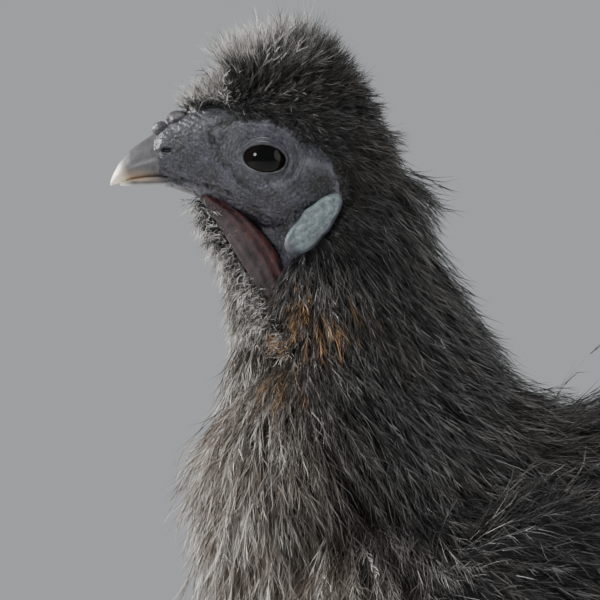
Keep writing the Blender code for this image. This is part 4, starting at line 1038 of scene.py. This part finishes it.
wet = Finish("dark_eye", Roughness=0.03, Specular_IOR_Level=0.12)
pos = wet.place()
x, y, z = wet.split(pos)
forth, up = x - EYE[0] * MM, z - EYE[1] * MM
from_middle = (forth * forth + up * up) ** 0.5
iris = wet.mix(from_middle.smooth(0.0028, 0.0031), (0.0015, 0.0015, 0.0015), (0.0045, 0.003, 0.0025))
wet.feed("Base Color", wet.mix(from_middle.smooth(0.0046, 0.0052), iris, (0.005, 0.0045, 0.005)))

lid_finish, pos = mottled("lid_skin", 600.0, 3.0, (0.3, 0.7), (0.010, 0.010, 0.013), (0.034, 0.033, 0.044),
                          Roughness=0.4)
lid_finish.bump(lid_finish.noise(pos, 2600.0), 0.5, 0.00015)

scales, pos = mottled("slate_scales", 250.0, 4.0, (0.3, 0.7), (0.03, 0.034, 0.042), (0.075, 0.085, 0.10),
                      Roughness=0.45)
scales.bump(scales.cells(pos, 420.0), 0.5, 0.0003)

claw_horn = Finish("claw_horn", Roughness=0.35)
pos = claw_horn.place()
claw_tones = claw_horn.mix(claw_horn.noise(pos, 300.0), (0.03, 0.03, 0.032), (0.13, 0.115, 0.10))
claw_horn.feed("Base Color", claw_tones)

# %% [markdown]
# One finish serves the whole coat. Each strand stores how far along it a point lies, its own tone, and
# how pale or ochre its tip turns, so that no two plumes are alike. Part of the paleness is the plumes'
# own, and part is a painted highlight on the fringe, the crest's tuft and curls and the front of the
# throat and breast.

# %% Plumage
plumage = Finish("plumage", Roughness=0.44, Specular_IOR_Level=0.3)
pos = plumage.place()
along, tone = plumage.attribute("along"), plumage.attribute("tone")
pale, gold = plumage.attribute("pale"), plumage.attribute("gold")
deep = plumage.mix(tone, (0.005, 0.005, 0.0055), (0.028, 0.0265, 0.0265))
deep = plumage.mix(plumage.noise(pos, 45.0).smooth(0.45, 0.75) * 0.5, deep, (0.030, 0.023, 0.018))
warm = plumage.mix(tone, (0.045, 0.034, 0.026), (0.19, 0.150, 0.118))
strand = plumage.mix(markings(plumage, pos), deep, warm)
# Pale tips: partly the plumes' own pale ends, partly a painted highlight along the front edge, on the fringe
# and on the crest.
strand = plumage.mix(along.smooth(0.3, 1.0) * pale, strand, PALE)
strand = plumage.mix(gold * along.smooth(0.2, 0.8), strand, OCHRE)
plumage.feed("Base Color", strand)
plumage.feed("Roughness", 0.52 - tone * 0.14)
print("materials:", [m.name for m in bpy.data.materials])

# %% [markdown]
# ## The coat
# Silkie plumes have no hooks on their barbs, so each one falls apart into fine threads. A plume here is
# a bent midrib with barbs on both sides, each a thin ribbon that tapers to a point. The export takes
# meshes, so the ribbons are worked out as arrays of points, thousands at a time, and put in one mesh.
# Each plume's patch in the OFBake map lies at its root's place on the skin's own unwrap.

# %% Ribbons
RIB_POINTS = 5
BARB_POINTS = 3
OVERHANG = 0.35  # how much of a tip's reach past the frame's box is kept
LOWEST = 0.4  # no plume reaches lower than this, in mm


def unit(vectors):
    return vectors / np.maximum(np.linalg.norm(vectors, axis=-1, keepdims=True), 1e-9)


def ribbons(paths, across, widths):
    """Tapering ribbons along (strands, points, 3) paths: their points, triangles and run along them."""
    strands, count = paths.shape[:2]
    t = np.linspace(0, 1, count)
    half = 0.5 * widths[:, None] * (1 - t**1.6)
    offset = across * half[..., None]
    left, right = paths[:, :-1] - offset[:, :-1], paths[:, :-1] + offset[:, :-1]
    points = np.concatenate([np.stack([left, right], 2).reshape(strands, -1, 3), paths[:, -1:]], 1)
    faces = []
    for k in range(count - 2):
        a = 2 * k
        faces += [(a, a + 1, a + 3), (a, a + 3, a + 2)]
    a = 2 * (count - 2)
    faces.append((a, a + 1, a + 2))
    per = 2 * (count - 1) + 1
    triangles = np.array(faces)[None] + (np.arange(strands) * per)[:, None, None]
    run = np.concatenate([np.repeat(t[:-1], 2), t[-1:]])
    return points, triangles.reshape(-1, 3), run


def triangles_of(barbs):
    """How many triangles a plume takes."""
    return 2 * RIB_POINTS - 3 + barbs * (2 * BARB_POINTS - 3)


print("a plume of 12 barbs takes", triangles_of(12), "triangles")


# %% Midribs and barbs
def midribs(roots, normals, flow, kind, rng):
    """Midribs that rise off the skin and settle along its lie: points, headings, sides and lengths."""
    count = len(roots)
    length = kind["length"] * (rng.uniform(0.7, 1.15, count) + 0.3 * (rng.uniform(0, 1, count) > 0.93))
    ahead = unit(flow - (flow * normals).sum(1, keepdims=True) * normals + 1e-6)
    side = np.cross(normals, ahead)
    yaw = rng.normal(0, kind["stray"], count)[:, None]
    ahead, side = ahead * np.cos(yaw) + side * np.sin(yaw), side * np.cos(yaw) - ahead * np.sin(yaw)
    lift = kind["lift"] + rng.normal(0, kind["loose"], count)
    t = np.linspace(0, 1, RIB_POINTS)
    angle = lift[:, None] - kind["settle"] * t
    sway = rng.normal(0, kind["sway"], count)[:, None] * t
    heading = ahead[:, None] * np.cos(sway)[..., None] + side[:, None] * np.sin(sway)[..., None]
    heading = heading * np.cos(angle)[..., None] + normals[:, None] * np.sin(angle)[..., None]
    heading = unit(heading + np.array((0, 0, -kind["weight"])) * (t**1.5)[None, :, None])
    step = length[:, None, None] / (RIB_POINTS - 1)
    run = np.concatenate([np.zeros((count, 1, 3)), np.cumsum(heading[:, :-1] * step, 1)], 1)
    rib_side = unit(np.cross(np.broadcast_to(normals[:, None], heading.shape), heading))
    return roots[:, None] + run, heading, rib_side, length


def barb_sides(barbs):
    """1 and -1 in turn: the side of the rib that each barb grows from."""
    return np.where(np.arange(barbs) % 2, 1, -1)


def barb_paths(rib, heading, rib_side, length, normals, kind, rng):
    """Barbs fanned out from both sides of each rib: their paths, and how far along it they start."""
    count, barbs = len(rib), kind["barbs"]
    even = (np.arange(barbs) // 2 + 0.5) / (barbs / 2) * 0.86 + 0.1
    at = np.clip(even + rng.normal(0, 0.04, (count, barbs)), 0.03, 0.99)
    spot = at * (RIB_POINTS - 1)
    low = np.minimum(spot.astype(int), RIB_POINTS - 2)
    part = (spot - low)[..., None]
    rows = np.arange(count)[:, None]
    start = rib[rows, low] * (1 - part) + rib[rows, low + 1] * part
    way = heading[rows, low]
    out = rib_side[rows, low] * barb_sides(barbs)[None, :, None]
    fan = kind["fan"] + rng.normal(0, kind["ragged"], (count, barbs, 1))
    reach = length[:, None] * kind["barb"] * (0.45 + 0.75 * np.sin(math.pi * at**0.8))
    reach = reach * (1 + rng.uniform(-2.0, 1.6, (count, barbs)) * kind["ragged"])
    u = np.linspace(0, 1, BARB_POINTS)[None, None, :, None]
    curl = rng.normal(0, kind["curl"], (count, barbs, 1, 3))
    lay = normals[:, None, None] * rng.normal(0.1, 1.3 * kind["ragged"], (count, barbs, 1, 1))
    aside = out[:, :, None] * (np.sin(fan)[:, :, None] * (1 - 0.4 * u))
    go = way[:, :, None] * np.cos(fan)[:, :, None] + aside + lay * u
    go = go + curl * u + np.array((0, 0, -kind["weight"])) * u**1.5
    paths = start[:, :, None] + unit(go) * (u * reach[..., None, None])
    return paths.reshape(-1, BARB_POINTS, 3), at


def keep_in_reach(points):
    """Draws in the tips that pass the frame's box, and keeps every point off the floor."""
    low_corner, high_corner = np.array(cad_box) / MM
    kept = np.clip(points, low_corner, high_corner)
    points = kept + (points - kept) * OVERHANG
    points[:, 2] = np.maximum(points[:, 2], LOWEST)
    return points


print("box for the coat, in mm:", (np.array(cad_box) / MM).round(1).tolist())


# %% A mesh of plumes
PATCH = (0.0012, 0.0028)  # half width and length of a plume's patch in the OFBake map


def coat_mesh(name, points, faces, uv, values):
    """One object from arrays, with the OFBake map and the stored values."""
    mesh = bpy.data.meshes.new(name)
    mesh.vertices.add(len(points))
    mesh.vertices.foreach_set("co", (points * MM).astype(np.float32).reshape(-1))
    mesh.loops.add(len(faces) * 3)
    mesh.loops.foreach_set("vertex_index", faces.astype(np.int32).reshape(-1))
    mesh.polygons.add(len(faces))
    mesh.polygons.foreach_set("loop_start", np.arange(0, len(faces) * 3, 3, dtype=np.int32))
    mesh.update(calc_edges=True)
    for label, row in values.items():
        layer = mesh.attributes.new(label, "FLOAT", "POINT")
        layer.data.foreach_set("value", row.astype(np.float32))
    bake = mesh.uv_layers.new(name="OFBake")
    bake.data.foreach_set("uv", np.clip(uv[faces.reshape(-1)], 0, 1).astype(np.float32).reshape(-1))
    mesh.shade_smooth()
    mesh.materials.append(plumage.material)
    made = bpy.data.objects.new(name, mesh)
    bpy.context.scene.collection.objects.link(made)
    return made


def plumes(name, roots, normals, flow, patch, kind, seed):
    """One joined mesh of plumes. kind holds their named sizes, and every random draw is seeded."""
    rng = np.random.default_rng(seed)
    count, barbs = len(roots), kind["barbs"]
    if kind["free"]:
        normals = unit(normals - (flow * normals).sum(1, keepdims=True) * flow + 1e-3)
    rib, heading, rib_side, length = midribs(roots, normals, flow, kind, rng)
    spin = rng.uniform(-1.2, 1.2, count)[:, None, None]
    rib_across = unit(rib_side * np.cos(spin) + np.cross(heading, rib_side) * np.sin(spin))
    rib_points, rib_faces, rib_run = ribbons(rib, rib_across, np.full(count, kind["rib"]))

    paths, at = barb_paths(rib, heading, rib_side, length, normals, kind, rng)
    along_barb = unit(paths[:, -1] - paths[:, 0])[:, None]
    any_way = unit(rng.normal(0, 1, (count * barbs, 1, 3)))
    across = np.broadcast_to(unit(np.cross(along_barb, any_way)), paths.shape)
    width = kind["thread"] * rng.uniform(0.7, 1.25, count * barbs)
    barb_points, barb_faces, barb_run = ribbons(paths, across, width)

    per_rib, per_barb = len(rib_run), len(barb_run)
    tone = np.clip(rng.beta(2, 3, count), 0, 1)
    strand_tone = np.clip(np.repeat(tone, barbs) + rng.normal(0, 0.16, count * barbs), 0, 1)
    pale = kind["pale"] * rng.beta(1.2, 2.2, count) * 1.6
    gold = (rng.uniform(0, 1, count) < ochre_near(roots)).astype(float) * rng.uniform(0.3, 1, count)
    barb_along = np.clip(at.reshape(-1)[:, None] * 0.75 + 0.35 * barb_run, 0, 1).reshape(-1)
    along = np.concatenate([np.tile(rib_run, count), barb_along])
    barb_owner = np.repeat(np.repeat(np.arange(count), barbs), per_barb)
    owner = np.concatenate([np.repeat(np.arange(count), per_rib), barb_owner])
    values = {
        "along": along,
        "tone": np.concatenate([np.repeat(tone, per_rib), np.repeat(strand_tone, per_barb)]),
        "pale": pale[owner],
        "gold": gold[owner],
    }
    barb_shift = np.repeat(np.tile(barb_sides(barbs), count), per_barb)
    shift = np.concatenate([np.zeros(count * per_rib), barb_shift])
    uv = patch[owner] + np.stack([shift * PATCH[0], (along - 0.5) * PATCH[1]], 1)
    points = keep_in_reach(np.concatenate([rib_points.reshape(-1, 3), barb_points.reshape(-1, 3)]))
    faces = np.concatenate([rib_faces, barb_faces + count * per_rib])
    return coat_mesh(name, points, faces, uv, values)


print("patch of a plume in the bake map:", PATCH)

# %% [markdown]
# ## Where plumes grow and how they lie
# The skin is parted by place. Each part has its own lie, length and density: velvet and plush round the
# face, longer hackles down the neck, long shredded plumes on the breast, back, wings and tail. The rules
# are tried in turn, and the first one that holds for a triangle's middle says which part it is in.

# %% The skin's triangles
def loop_triangles(mesh, label):
    """One whole number for each corner of each triangle."""
    values = np.empty(len(mesh.loop_triangles) * 3, np.int32)
    mesh.loop_triangles.foreach_get(label, values)
    return values.reshape(-1, 3)


mesh = skin.data
mesh.calc_loop_triangles()
corners = loop_triangles(mesh, "vertices")
unwrap = np.empty(len(mesh.loops) * 2, np.float32)
mesh.uv_layers.active.data.foreach_get("uv", unwrap)
unwrap = unwrap.reshape(-1, 2)[loop_triangles(mesh, "loops")]
skin_points = vertex_array(mesh) / MM
skin_normals = np.empty(len(mesh.vertices) * 3, np.float32)
mesh.vertices.foreach_get("normal", skin_normals)
skin_normals = skin_normals.reshape(-1, 3).astype(float)
edges = skin_points[corners]
area = 0.5 * np.linalg.norm(np.cross(edges[:, 1] - edges[:, 0], edges[:, 2] - edges[:, 0]), axis=1)
print("skin:", round(area.sum()), "mm2")

# %% Regions
centre = edges.mean(1)
cx, cy, cz = centre.T
covered = ~(inside(cx, cz, BARE_FACE) & (cx < BARE_BACK))
wattle_line = [(w[0], w[2]) for w in WATTLE]
throat_gap = (np.abs(cy) > 3.6) & (line_distance(cx, cz, wattle_line) < 1.8)
FRINGE_LINE = (
    (-111.2, 269.6), (-107.7, 264.2), (-102.8, 258.2), (-98.0, 251.0), (-93.7, 244.5), (-89.5, 233.0),
)
fringe = (np.abs(cy) > 1.5) & (line_distance(cx, cz, FRINGE_LINE) < 2.2) & (cz < 269.4)
face_edge = line_distance(cx, cz, BARE_FACE) < 2.8
velvet_edge = ~covered & face_edge & (cx > -104) & ((cz > 282) | (cx > -79.5))
covered = (covered & ~throat_gap) | velvet_edge | fringe
REGIONS = (
    ("velvet", velvet_edge),
    ("fringe", fringe),
    ("curls", (cz > 290) & (cx < -104)),
    ("tuft", (cz > 298) & (np.abs(cx + 97) < 4.6) & (np.abs(cy) < 6)),
    ("crest", (cz > 287.5) & (cx < -64)),
    ("plush", (cz > 259) & (cx < -72) & (cx > -100)),
    ("chin", (cx < -84) & (cz > 236)),
    ("hackle", cz > 224),
    ("cape", (cz > 192) & (cx < -28)),
    ("breast", cx < -56),
    ("tail", (cx > 72) & (cz > 150)),
    ("wing", (np.abs(cy) > 42) & (cz > 126)),
    ("back", (cz > 160) & (cx < 28)),
    ("saddle", cz > 138),
    ("thigh", (np.abs(cy) > 14) & (cz < 112)),
    ("belly", cz > -1),
)
region = np.select([mask for name, mask in REGIONS], range(len(REGIONS)))
region[~covered] = -1
for k, (name, mask) in enumerate(REGIONS):
    print(f"{name:8s}{area[region == k].sum():9.0f} mm2")


# %% The lie of each region
def lie_of(name, p):
    """The way the plumes point at these roots, before they are laid on the skin."""
    x, y, z = p.T
    zero, one = np.zeros(len(p)), np.ones(len(p))
    if name == "velvet":
        return np.stack([x + 96, zero, z - 276], 1)
    if name == "fringe":
        return np.stack([-0.55 * one, y * 0.02, -0.8 * one], 1)
    if name == "curls":
        return np.stack([-0.25 * one, y * 0.08, one], 1)
    if name == "tuft":
        return np.stack([(x + 97) * 0.12 - 0.06, y * 0.09, one], 1)
    if name == "crest":
        forward = np.interp(x, (-114, -107, -101, -97, -90, -82, -75, -70),
                            (0.0, -0.1, -0.15, -0.05, 0.2, 0.5, 0.9, 1.0))
        upward = np.interp(x, (-114, -97, -90, -82, -75, -70), (0.8, 1.0, 1.0, 0.8, 0.2, -0.3))
        flank, low = ramp(np.abs(y), 4, 10), 1 - ramp(z, 288, 297)
        return np.stack([forward + 0.45 * flank + 0.6 * low, y * 0.045, upward - 0.5 * flank - 0.8 * low], 1)
    if name == "plush":
        return np.stack([one, zero, -0.3 - 0.02 * np.maximum(280 - z, 0)], 1)
    if name in ("chin", "breast"):
        return np.stack([0.06 + 0.014 * np.maximum(x + 95, 0), y * 0.006, -one], 1)
    if name == "hackle":
        return np.stack([0.3 + 0.018 * np.maximum(x + 88, 0), y * 0.004, -one], 1)
    if name == "cape":
        return np.stack([0.4 + 0.018 * np.maximum(x + 84, 0), y * 0.012, -0.9 * one], 1)
    if name == "tail":
        return np.stack([one, y * 0.02, (z - 196) * 0.022], 1)
    if name == "wing":
        return np.stack([one, y * 0.003, -0.42 * one], 1)
    if name in ("back", "saddle"):
        return np.stack([one, y * 0.003, -0.1 - 0.55 * ramp(np.abs(y), 14, 40)], 1)
    if name == "thigh":
        return np.stack([0.2 * one, y * 0.01, -one], 1)
    return np.stack([0.5 * one, y * 0.006, -0.7 * one], 1)


print("regions, from the head down:", [name for name, mask in REGIONS])

# %% [markdown]
# Inside a region some sizes still change with place: plumes are longest on top of the crest, stand off
# the nape and fluff up over the back, and the palest ones, a painted highlight, edge the throat and the
# front of the breast.

# %% Sizes that change with place
def crest_length(p):
    """Longest on top, short over the comb and the nape."""
    long = np.interp(p[:, 0], (-115, -107, -103, -99, -96, -88, -81, -76, -70),
                     (4.2, 4.6, 4.6, 7.5, 12.0, 12.0, 9.0, 6.0, 6.5))
    return long * (1 - 0.25 * ramp(np.abs(p[:, 1]), 5, 11))


def plush_length(p):
    """Velvet on the cheek's edge, growing into hackles towards the nape."""
    return np.interp(p[:, 0], (-92, -80, -74, -68), (4.5, 6.5, 9.0, 13.0))


def hackle_lift(p):
    """Hackles stand off the nape and the throat, and lie flatter on the sides."""
    return 0.34 + 0.3 * ramp(p[:, 0], -72, -56) + 0.2 * (1 - ramp(p[:, 0], -98, -88))


def cape_lift(p):
    """Over the shoulders the cape rises into the cushion of the back."""
    return 0.44 + 0.6 * ramp(p[:, 0], -58, -40) * (1 - ramp(np.abs(p[:, 1]), 14, 34))


def cushion_lift(p):
    """Fluffed along the top of the back, lying flatter down the flanks."""
    return 0.34 + 0.46 * (1 - ramp(np.abs(p[:, 1]), 14, 40))


def saddle_length(p):
    """Longer towards the tail, so that the back runs up into it."""
    return 34 + 14 * ramp(p[:, 0], 34, 70)


def thigh_length(p):
    """The lowest plumes of the thigh hang past the hock."""
    return np.interp(p[:, 2], (66, 84, 112), (44, 38, 30))


def front_highlight(p):
    """Painted highlight: 1 along the foremost line of the throat, neck and breast, where the plumes are made
    palest.
    """
    front = np.interp(p[:, 2], (150, 180, 200, 225, 245, 262, 270), (-100, -101, -99, -96, -101, -106, -112))
    return 1 - ramp(p[:, 0] - front, 2.0, 11.0)


# Pale tips under the chin, raised further along the front by the painted highlight.
def chin_pale(p):
    return 0.25 + 1.3 * front_highlight(p)


# Pale tips down the neck, raised further along the front by the painted highlight.
def neck_pale(p):
    return 0.13 + 0.8 * front_highlight(p)


def crest_pale(p):
    """Painted highlight: the front tuft and the curls over the comb, which catch the most light, get the
    palest threads.
    """
    tuft = np.exp(-(((p[:, 0] + 95) / 7) ** 2)) * ramp(p[:, 2], 294, 300)
    return 0.14 + 1.1 * tuft + 1.2 * (1 - ramp(p[:, 0], -106, -102))


def breast_pale(p):
    """Palest along the front edge, as a painted highlight, and in one pale lock on the crop."""
    lock = np.exp(-(((p[:, 0] + 88) / 4) ** 2) - ((p[:, 2] - 204) / 9) ** 2)
    return 0.25 + 0.7 * front_highlight(p) + 1.1 * lock


def ochre_near(p):
    """A few ochre plumes grow under the earlobe and beside the crop."""
    upper = np.exp(-(((p[:, 0] + 83) / 5) ** 2) - ((p[:, 2] - 244) / 5) ** 2)
    lower = np.exp(-(((p[:, 0] + 89) / 3) ** 2) - ((p[:, 2] - 232) / 5) ** 2)
    return 0.8 * (upper + lower)


print("crest length from", crest_length(skin_points).min().round(1), "mm up")

# %% [markdown]
# The kinds of plume, by region. In each, number is how many, length is in mm, lift is the angle at which
# they leave the skin and settle how much of it they lose towards the tip. loose, stray and sway spread
# the lift, the direction and the bend, and weight makes them sag. barbs is the number of threads on one,
# barb a thread's share of the length, fan its angle, and ragged and curl how uneven the threads are. rib
# and thread are widths in mm, and pale says how pale tips turn. free plumes stand along their lie
# instead of off the skin. The last five kinds grow over a region that has its own, as broader feathers
# with many barbs, and near keeps one to the ground about a spot.

# %% Kinds of plume
WIDE = dict(rib=0.4, thread=0.36)
KINDS = {
    "velvet": dict(number=1000, length=2.6, lift=0.42, settle=0.2, barbs=6, barb=0.5, fan=0.5, pale=0.1,
        rib=0.15, thread=0.12),
    # The fringe's very pale tips are a painted highlight along the front of the wattle.
    "fringe": dict(number=700, length=5.6, lift=0.9, settle=0.3, loose=0.3, sway=0.4, barbs=8, barb=0.5,
        fan=0.45, pale=1.9, stray=0.4, weight=0.05, curl=0.25),
    # The curls' very pale tips are a painted highlight.
    "curls": dict(number=420, length=5.4, lift=0.1, settle=-0.1, loose=0.35, sway=0.5, free=1, barbs=10,
        barb=0.55, fan=0.5, pale=1.9, stray=0.5, weight=0.0, curl=0.35),
    # The tuft's very pale tips are a painted highlight.
    "tuft": dict(number=460, length=11.5, lift=0.05, settle=0.1, loose=0.22, sway=0.2, free=1, barbs=8,
        barb=0.4, fan=0.16, pale=2.2, stray=0.25, weight=0.0, curl=0.1, rib=0.18, thread=0.14),
    "crest": dict(number=2700, length=crest_length, lift=0.1, settle=0.15, loose=0.2, sway=0.25, free=1,
        barbs=10, barb=0.5, fan=0.24, pale=crest_pale, stray=0.3, weight=0.02),
    "plush": dict(number=3200, length=plush_length, lift=0.4, settle=0.25, barbs=8, barb=0.5, fan=0.3,
        pale=0.05),
    "chin": dict(number=1200, length=7.0, lift=0.7, settle=0.4, barbs=10, barb=0.45, fan=0.45,
        pale=chin_pale),
    "hackle": dict(number=4500, length=17.0, lift=hackle_lift, settle=0.4, barbs=12, barb=0.36,
        fan=0.22, pale=neck_pale, stray=0.12, curl=0.08, thread=0.2),
    "cape": dict(number=3200, length=25.0, lift=cape_lift, settle=0.42, barbs=14, barb=0.3, fan=0.22,
        pale=neck_pale, stray=0.12, curl=0.08, thread=0.2),
    "breast": dict(number=2700, length=31.0, lift=0.62, settle=0.62, barbs=18, barb=0.3, fan=0.3,
        pale=breast_pale, curl=0.08, thread=0.205),
    "tail": dict(number=1050, length=36.0, lift=0.62, settle=0.45, barbs=16, barb=0.32, fan=0.45,
        pale=0.12, **WIDE),
    "wing": dict(number=2800, length=30.0, lift=0.32, settle=0.34, barbs=14, barb=0.32, fan=0.26,
        pale=0.06, rib=0.26, thread=0.27),
    "back": dict(number=1500, length=32.0, lift=cushion_lift, settle=0.6, barbs=14, barb=0.34, fan=0.36,
        pale=0.08, **WIDE),
    "saddle": dict(number=1550, length=saddle_length, lift=cushion_lift, settle=0.4, barbs=14,
        barb=0.34, fan=0.42, pale=0.12, **WIDE),
    "thigh": dict(number=1750, length=thigh_length, lift=0.5, settle=0.4, barbs=12, barb=0.34, fan=0.4,
        pale=0.12, **WIDE),
    "belly": dict(number=1250, length=36.0, lift=0.45, settle=0.36, barbs=12, barb=0.34, fan=0.42,
        pale=0.12, **WIDE),
    "hackle_feathers": dict(over="hackle", number=380, length=15.0, lift=0.5, settle=0.42, barbs=26,
        barb=0.2, fan=0.32, pale=0.18, stray=0.1, curl=0.03, ragged=0.06, rib=0.26),
    "cape_feathers": dict(over="cape", number=380, length=24.0, lift=0.54, settle=0.5, barbs=30,
        barb=0.18, fan=0.34, pale=0.18, stray=0.1, curl=0.03, ragged=0.06, rib=0.3),
    "breast_feathers": dict(over="breast", number=330, length=32.0, lift=0.7, settle=0.66, barbs=34,
        barb=0.2, fan=0.42, pale=0.9, stray=0.14, curl=0.04, ragged=0.09, rib=0.42, thread=0.2),
    "breast_locks": dict(over="breast", near=(-87.0, 33.0, 203.0, 17.0), number=26, length=31.0,
        lift=0.85, settle=0.9, barbs=30, barb=0.26, fan=0.3, pale=2.2, stray=0.22, curl=0.05,
        ragged=0.08, rib=0.5, thread=0.19),
    "wing_feathers": dict(over="wing", number=420, length=30.0, lift=0.4, settle=0.4, barbs=30,
        barb=0.2, fan=0.36, pale=0.15, stray=0.1, curl=0.03, ragged=0.07, rib=0.32, thread=0.22),
}
COMMON = dict(
    stray=0.16, loose=0.12, sway=0.18, weight=0.12, rib=0.22, thread=0.16, curl=0.12, free=0, ragged=0.22)
MOST = 190000  # triangles in one piece of the coat
ROOT_DEPTH = 0.4  # how far a root is sunk in the skin, in mm
print("plumes:", sum(kind["number"] for kind in KINDS.values()))


# %% Grow the coat
def draw_roots(choices, number):
    """Roots drawn by area over some of the skin's triangles: places, normals and map points."""
    picked = rng.choice(choices, number, p=area[choices] / area[choices].sum())
    a, b = rng.uniform(0, 1, (2, number))
    over = a + b > 1
    a[over], b[over] = 1 - a[over], 1 - b[over]
    share = np.stack([1 - a - b, a, b], 1)[..., None]
    normals = unit((skin_normals[corners[picked]] * share).sum(1))
    return (edges[picked] * share).sum(1), normals, (unwrap[picked] * share).sum(1)


def at_roots(value, roots):
    """A size for each root, from a function of its place or one number for all."""
    return value(roots) if callable(value) else np.full(len(roots), value)


coats = []
rng = np.random.default_rng(20)
region_names = [name for name, mask in REGIONS]
for k, (name, sizes) in enumerate(KINDS.items()):
    kind = {**COMMON, **sizes}
    ground = kind.get("over", name)
    choices = np.flatnonzero(region == region_names.index(ground))
    if "near" in kind:
        spot, reach = kind["near"][:3], kind["near"][3]
        middles = np.stack([cx, np.abs(cy), cz], 1)[choices]
        choices = choices[np.linalg.norm(middles - spot, axis=1) < reach]
    roots, normals, patch = draw_roots(choices, kind["number"])
    flow = unit(lie_of(ground, roots))
    by_root = {size: at_roots(kind[size], roots) for size in ("length", "pale", "lift")}
    groups = math.ceil(kind["number"] * triangles_of(kind["barbs"]) / MOST)
    order = np.argsort(roots[:, 1], kind="stable")
    for g, members in enumerate(np.array_split(order, groups)):
        label = f"coat_{name}" if groups == 1 else f"coat_{name}_{g + 1}"
        own = {**kind, **{size: values[members] for size, values in by_root.items()}}
        sunk = roots[members] - normals[members] * ROOT_DEPTH
        coats.append(plumes(label, sunk, normals[members], flow[members], patch[members], own, 100 * k + g))
print("coat of the body:", len(coats), "pieces")

# %% [markdown]
# The breed has feathered shanks and outer toes. Their roots are worked out on the limb itself, and their
# place in the bake map is the limb unrolled: how far down it they sit, and how far round.

# %% Feathered feet
FEET = dict(number=440, lift=0.55, settle=0.25, barbs=12, barb=0.34, fan=0.45, pale=0.12)
SHANK_PLUME, TOE_PLUME = 30.0, 20.0  # lengths


def foot_plumes(side):
    kind = {**COMMON, **FEET}
    count = kind["number"]
    hub, hock = leg_joints(side)
    share = rng.uniform(0, 1, count)[:, None]
    turn = rng.normal(0.15, 0.65, count)
    out = np.stack([np.sin(turn), side * np.cos(turn), np.zeros(count)], 1)
    on_shank = hock + (hub - hock) * share + out * 4.4
    toe_way = np.array((-0.86, side * 0.42, 0.0))
    scatter = rng.normal(0, 1.6, (count, 3)) * (0.5, 1, 0)
    on_toe = hub + toe_way * (6 + 24 * share) + (0, 0, 1) * (-3.0 - 2.5 * share) + scatter
    leg = (np.arange(count) % 5 < 3)[:, None]  # three in five grow on the shank
    roots = np.where(leg, on_shank, on_toe)
    normals = unit(np.where(leg, out, np.array((0, side * 0.35, 1.0))))
    down_leg, along_toe = np.array((0.15, side * 0.35, -1.0)), np.array((-0.5, side * 1.0, -0.1))
    flow = unit(np.where(leg, down_leg, along_toe))
    patch = np.stack([0.1 + 0.8 * share[:, 0], 0.5 + turn / 8 + np.where(leg[:, 0], 0.0, 0.2)], 1)
    own = {**kind, "length": np.where(leg[:, 0], SHANK_PLUME, TOE_PLUME)}
    return plumes(f"coat_foot_{SIDE_NAMES[side]}", roots, normals, flow, patch, own, 900 + side)


coats += [foot_plumes(side) for side in SIDES]
counts = [len(o.data.polygons) for o in coats]
print("coat:", len(coats), "pieces,", sum(counts), "triangles, largest", max(counts))

# %% [markdown]
# ## Bind every piece to the frame
# Each piece rides on the hen's one body and stands for the solids it covers.

# %% Finishes and binding
dressed = []


def dress(piece, finish, slot, *nodes):
    """Gives a piece its finish, its body and the solids that it stands for. slot is not used."""
    if finish is not None:
        piece.data.materials.clear()
        piece.data.materials.append(finish.material)
    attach(piece, BODY)
    if nodes:
        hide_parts(*nodes)
    dressed.append(piece.name)


flesh = ["head", "neck", "torso", "tail", "crest"] + [
    f"{part}_{label}" for part in ("wing", "thigh") for label in SIDE_NAMES.values()]
dress(skin, face, "face_skin", *flesh)
dress(upper_bill, horn, "bill_horn", "bill_upper")
dress(lower_bill, horn, "bill_horn", "bill_lower")
dress(comb, walnut, "comb_skin", "comb")
for k, side in enumerate(SIDES):
    label = SIDE_NAMES[side]
    dress(eyes[side], wet, "eye", f"eye_{label}")
    dress(lids[k], lid_finish, "face_skin")
    dress(lobes[k], ear, "earlobe_skin", f"earlobe_{label}")
    dress(wattles[k], red, "wattle_skin", f"wattle_{label}")
    dress(legs[k], scales, "leg_skin", f"shank_{label}")
    dress(feet[k], scales, "leg_skin", f"foot_{label}")
for claw in claws:
    toe, label = claw.name.split("_")[:2]
    dress(claw, claw_horn, "claw_horn", f"claw_{toe}_{label}")
for piece in coats:
    dress(piece, None, "plumage")
print("pieces:", len(dressed))

# %% [markdown]
# ## Floor
# A pale disc, large enough that its edge stays far from the hen in every view.

# %% Floor
FLOOR_RADIUS = 2.4  # metres
bpy.ops.object.select_all(action="DESELECT")
bpy.ops.mesh.primitive_circle_add(vertices=128, radius=FLOOR_RADIUS, fill_type="NGON", location=(0, 0, 0))
floor = bpy.context.object
floor.name = "floor"
paper = Finish("pale_paper", Roughness=0.85)
paper.shader.inputs["Base Color"].default_value = (0.62, 0.62, 0.61, 1.0)
floor.data.materials.append(paper.material)
print("floor:", FLOOR_RADIUS, "m")

# %% [markdown]
# ## The frame's box
# The frame's box is printed once more. The coat's tips may pass it by a few mm.

# %% Print the frame's box
print("frame ", [[round(v / MM, 1) for v in corner] for corner in cad_box])
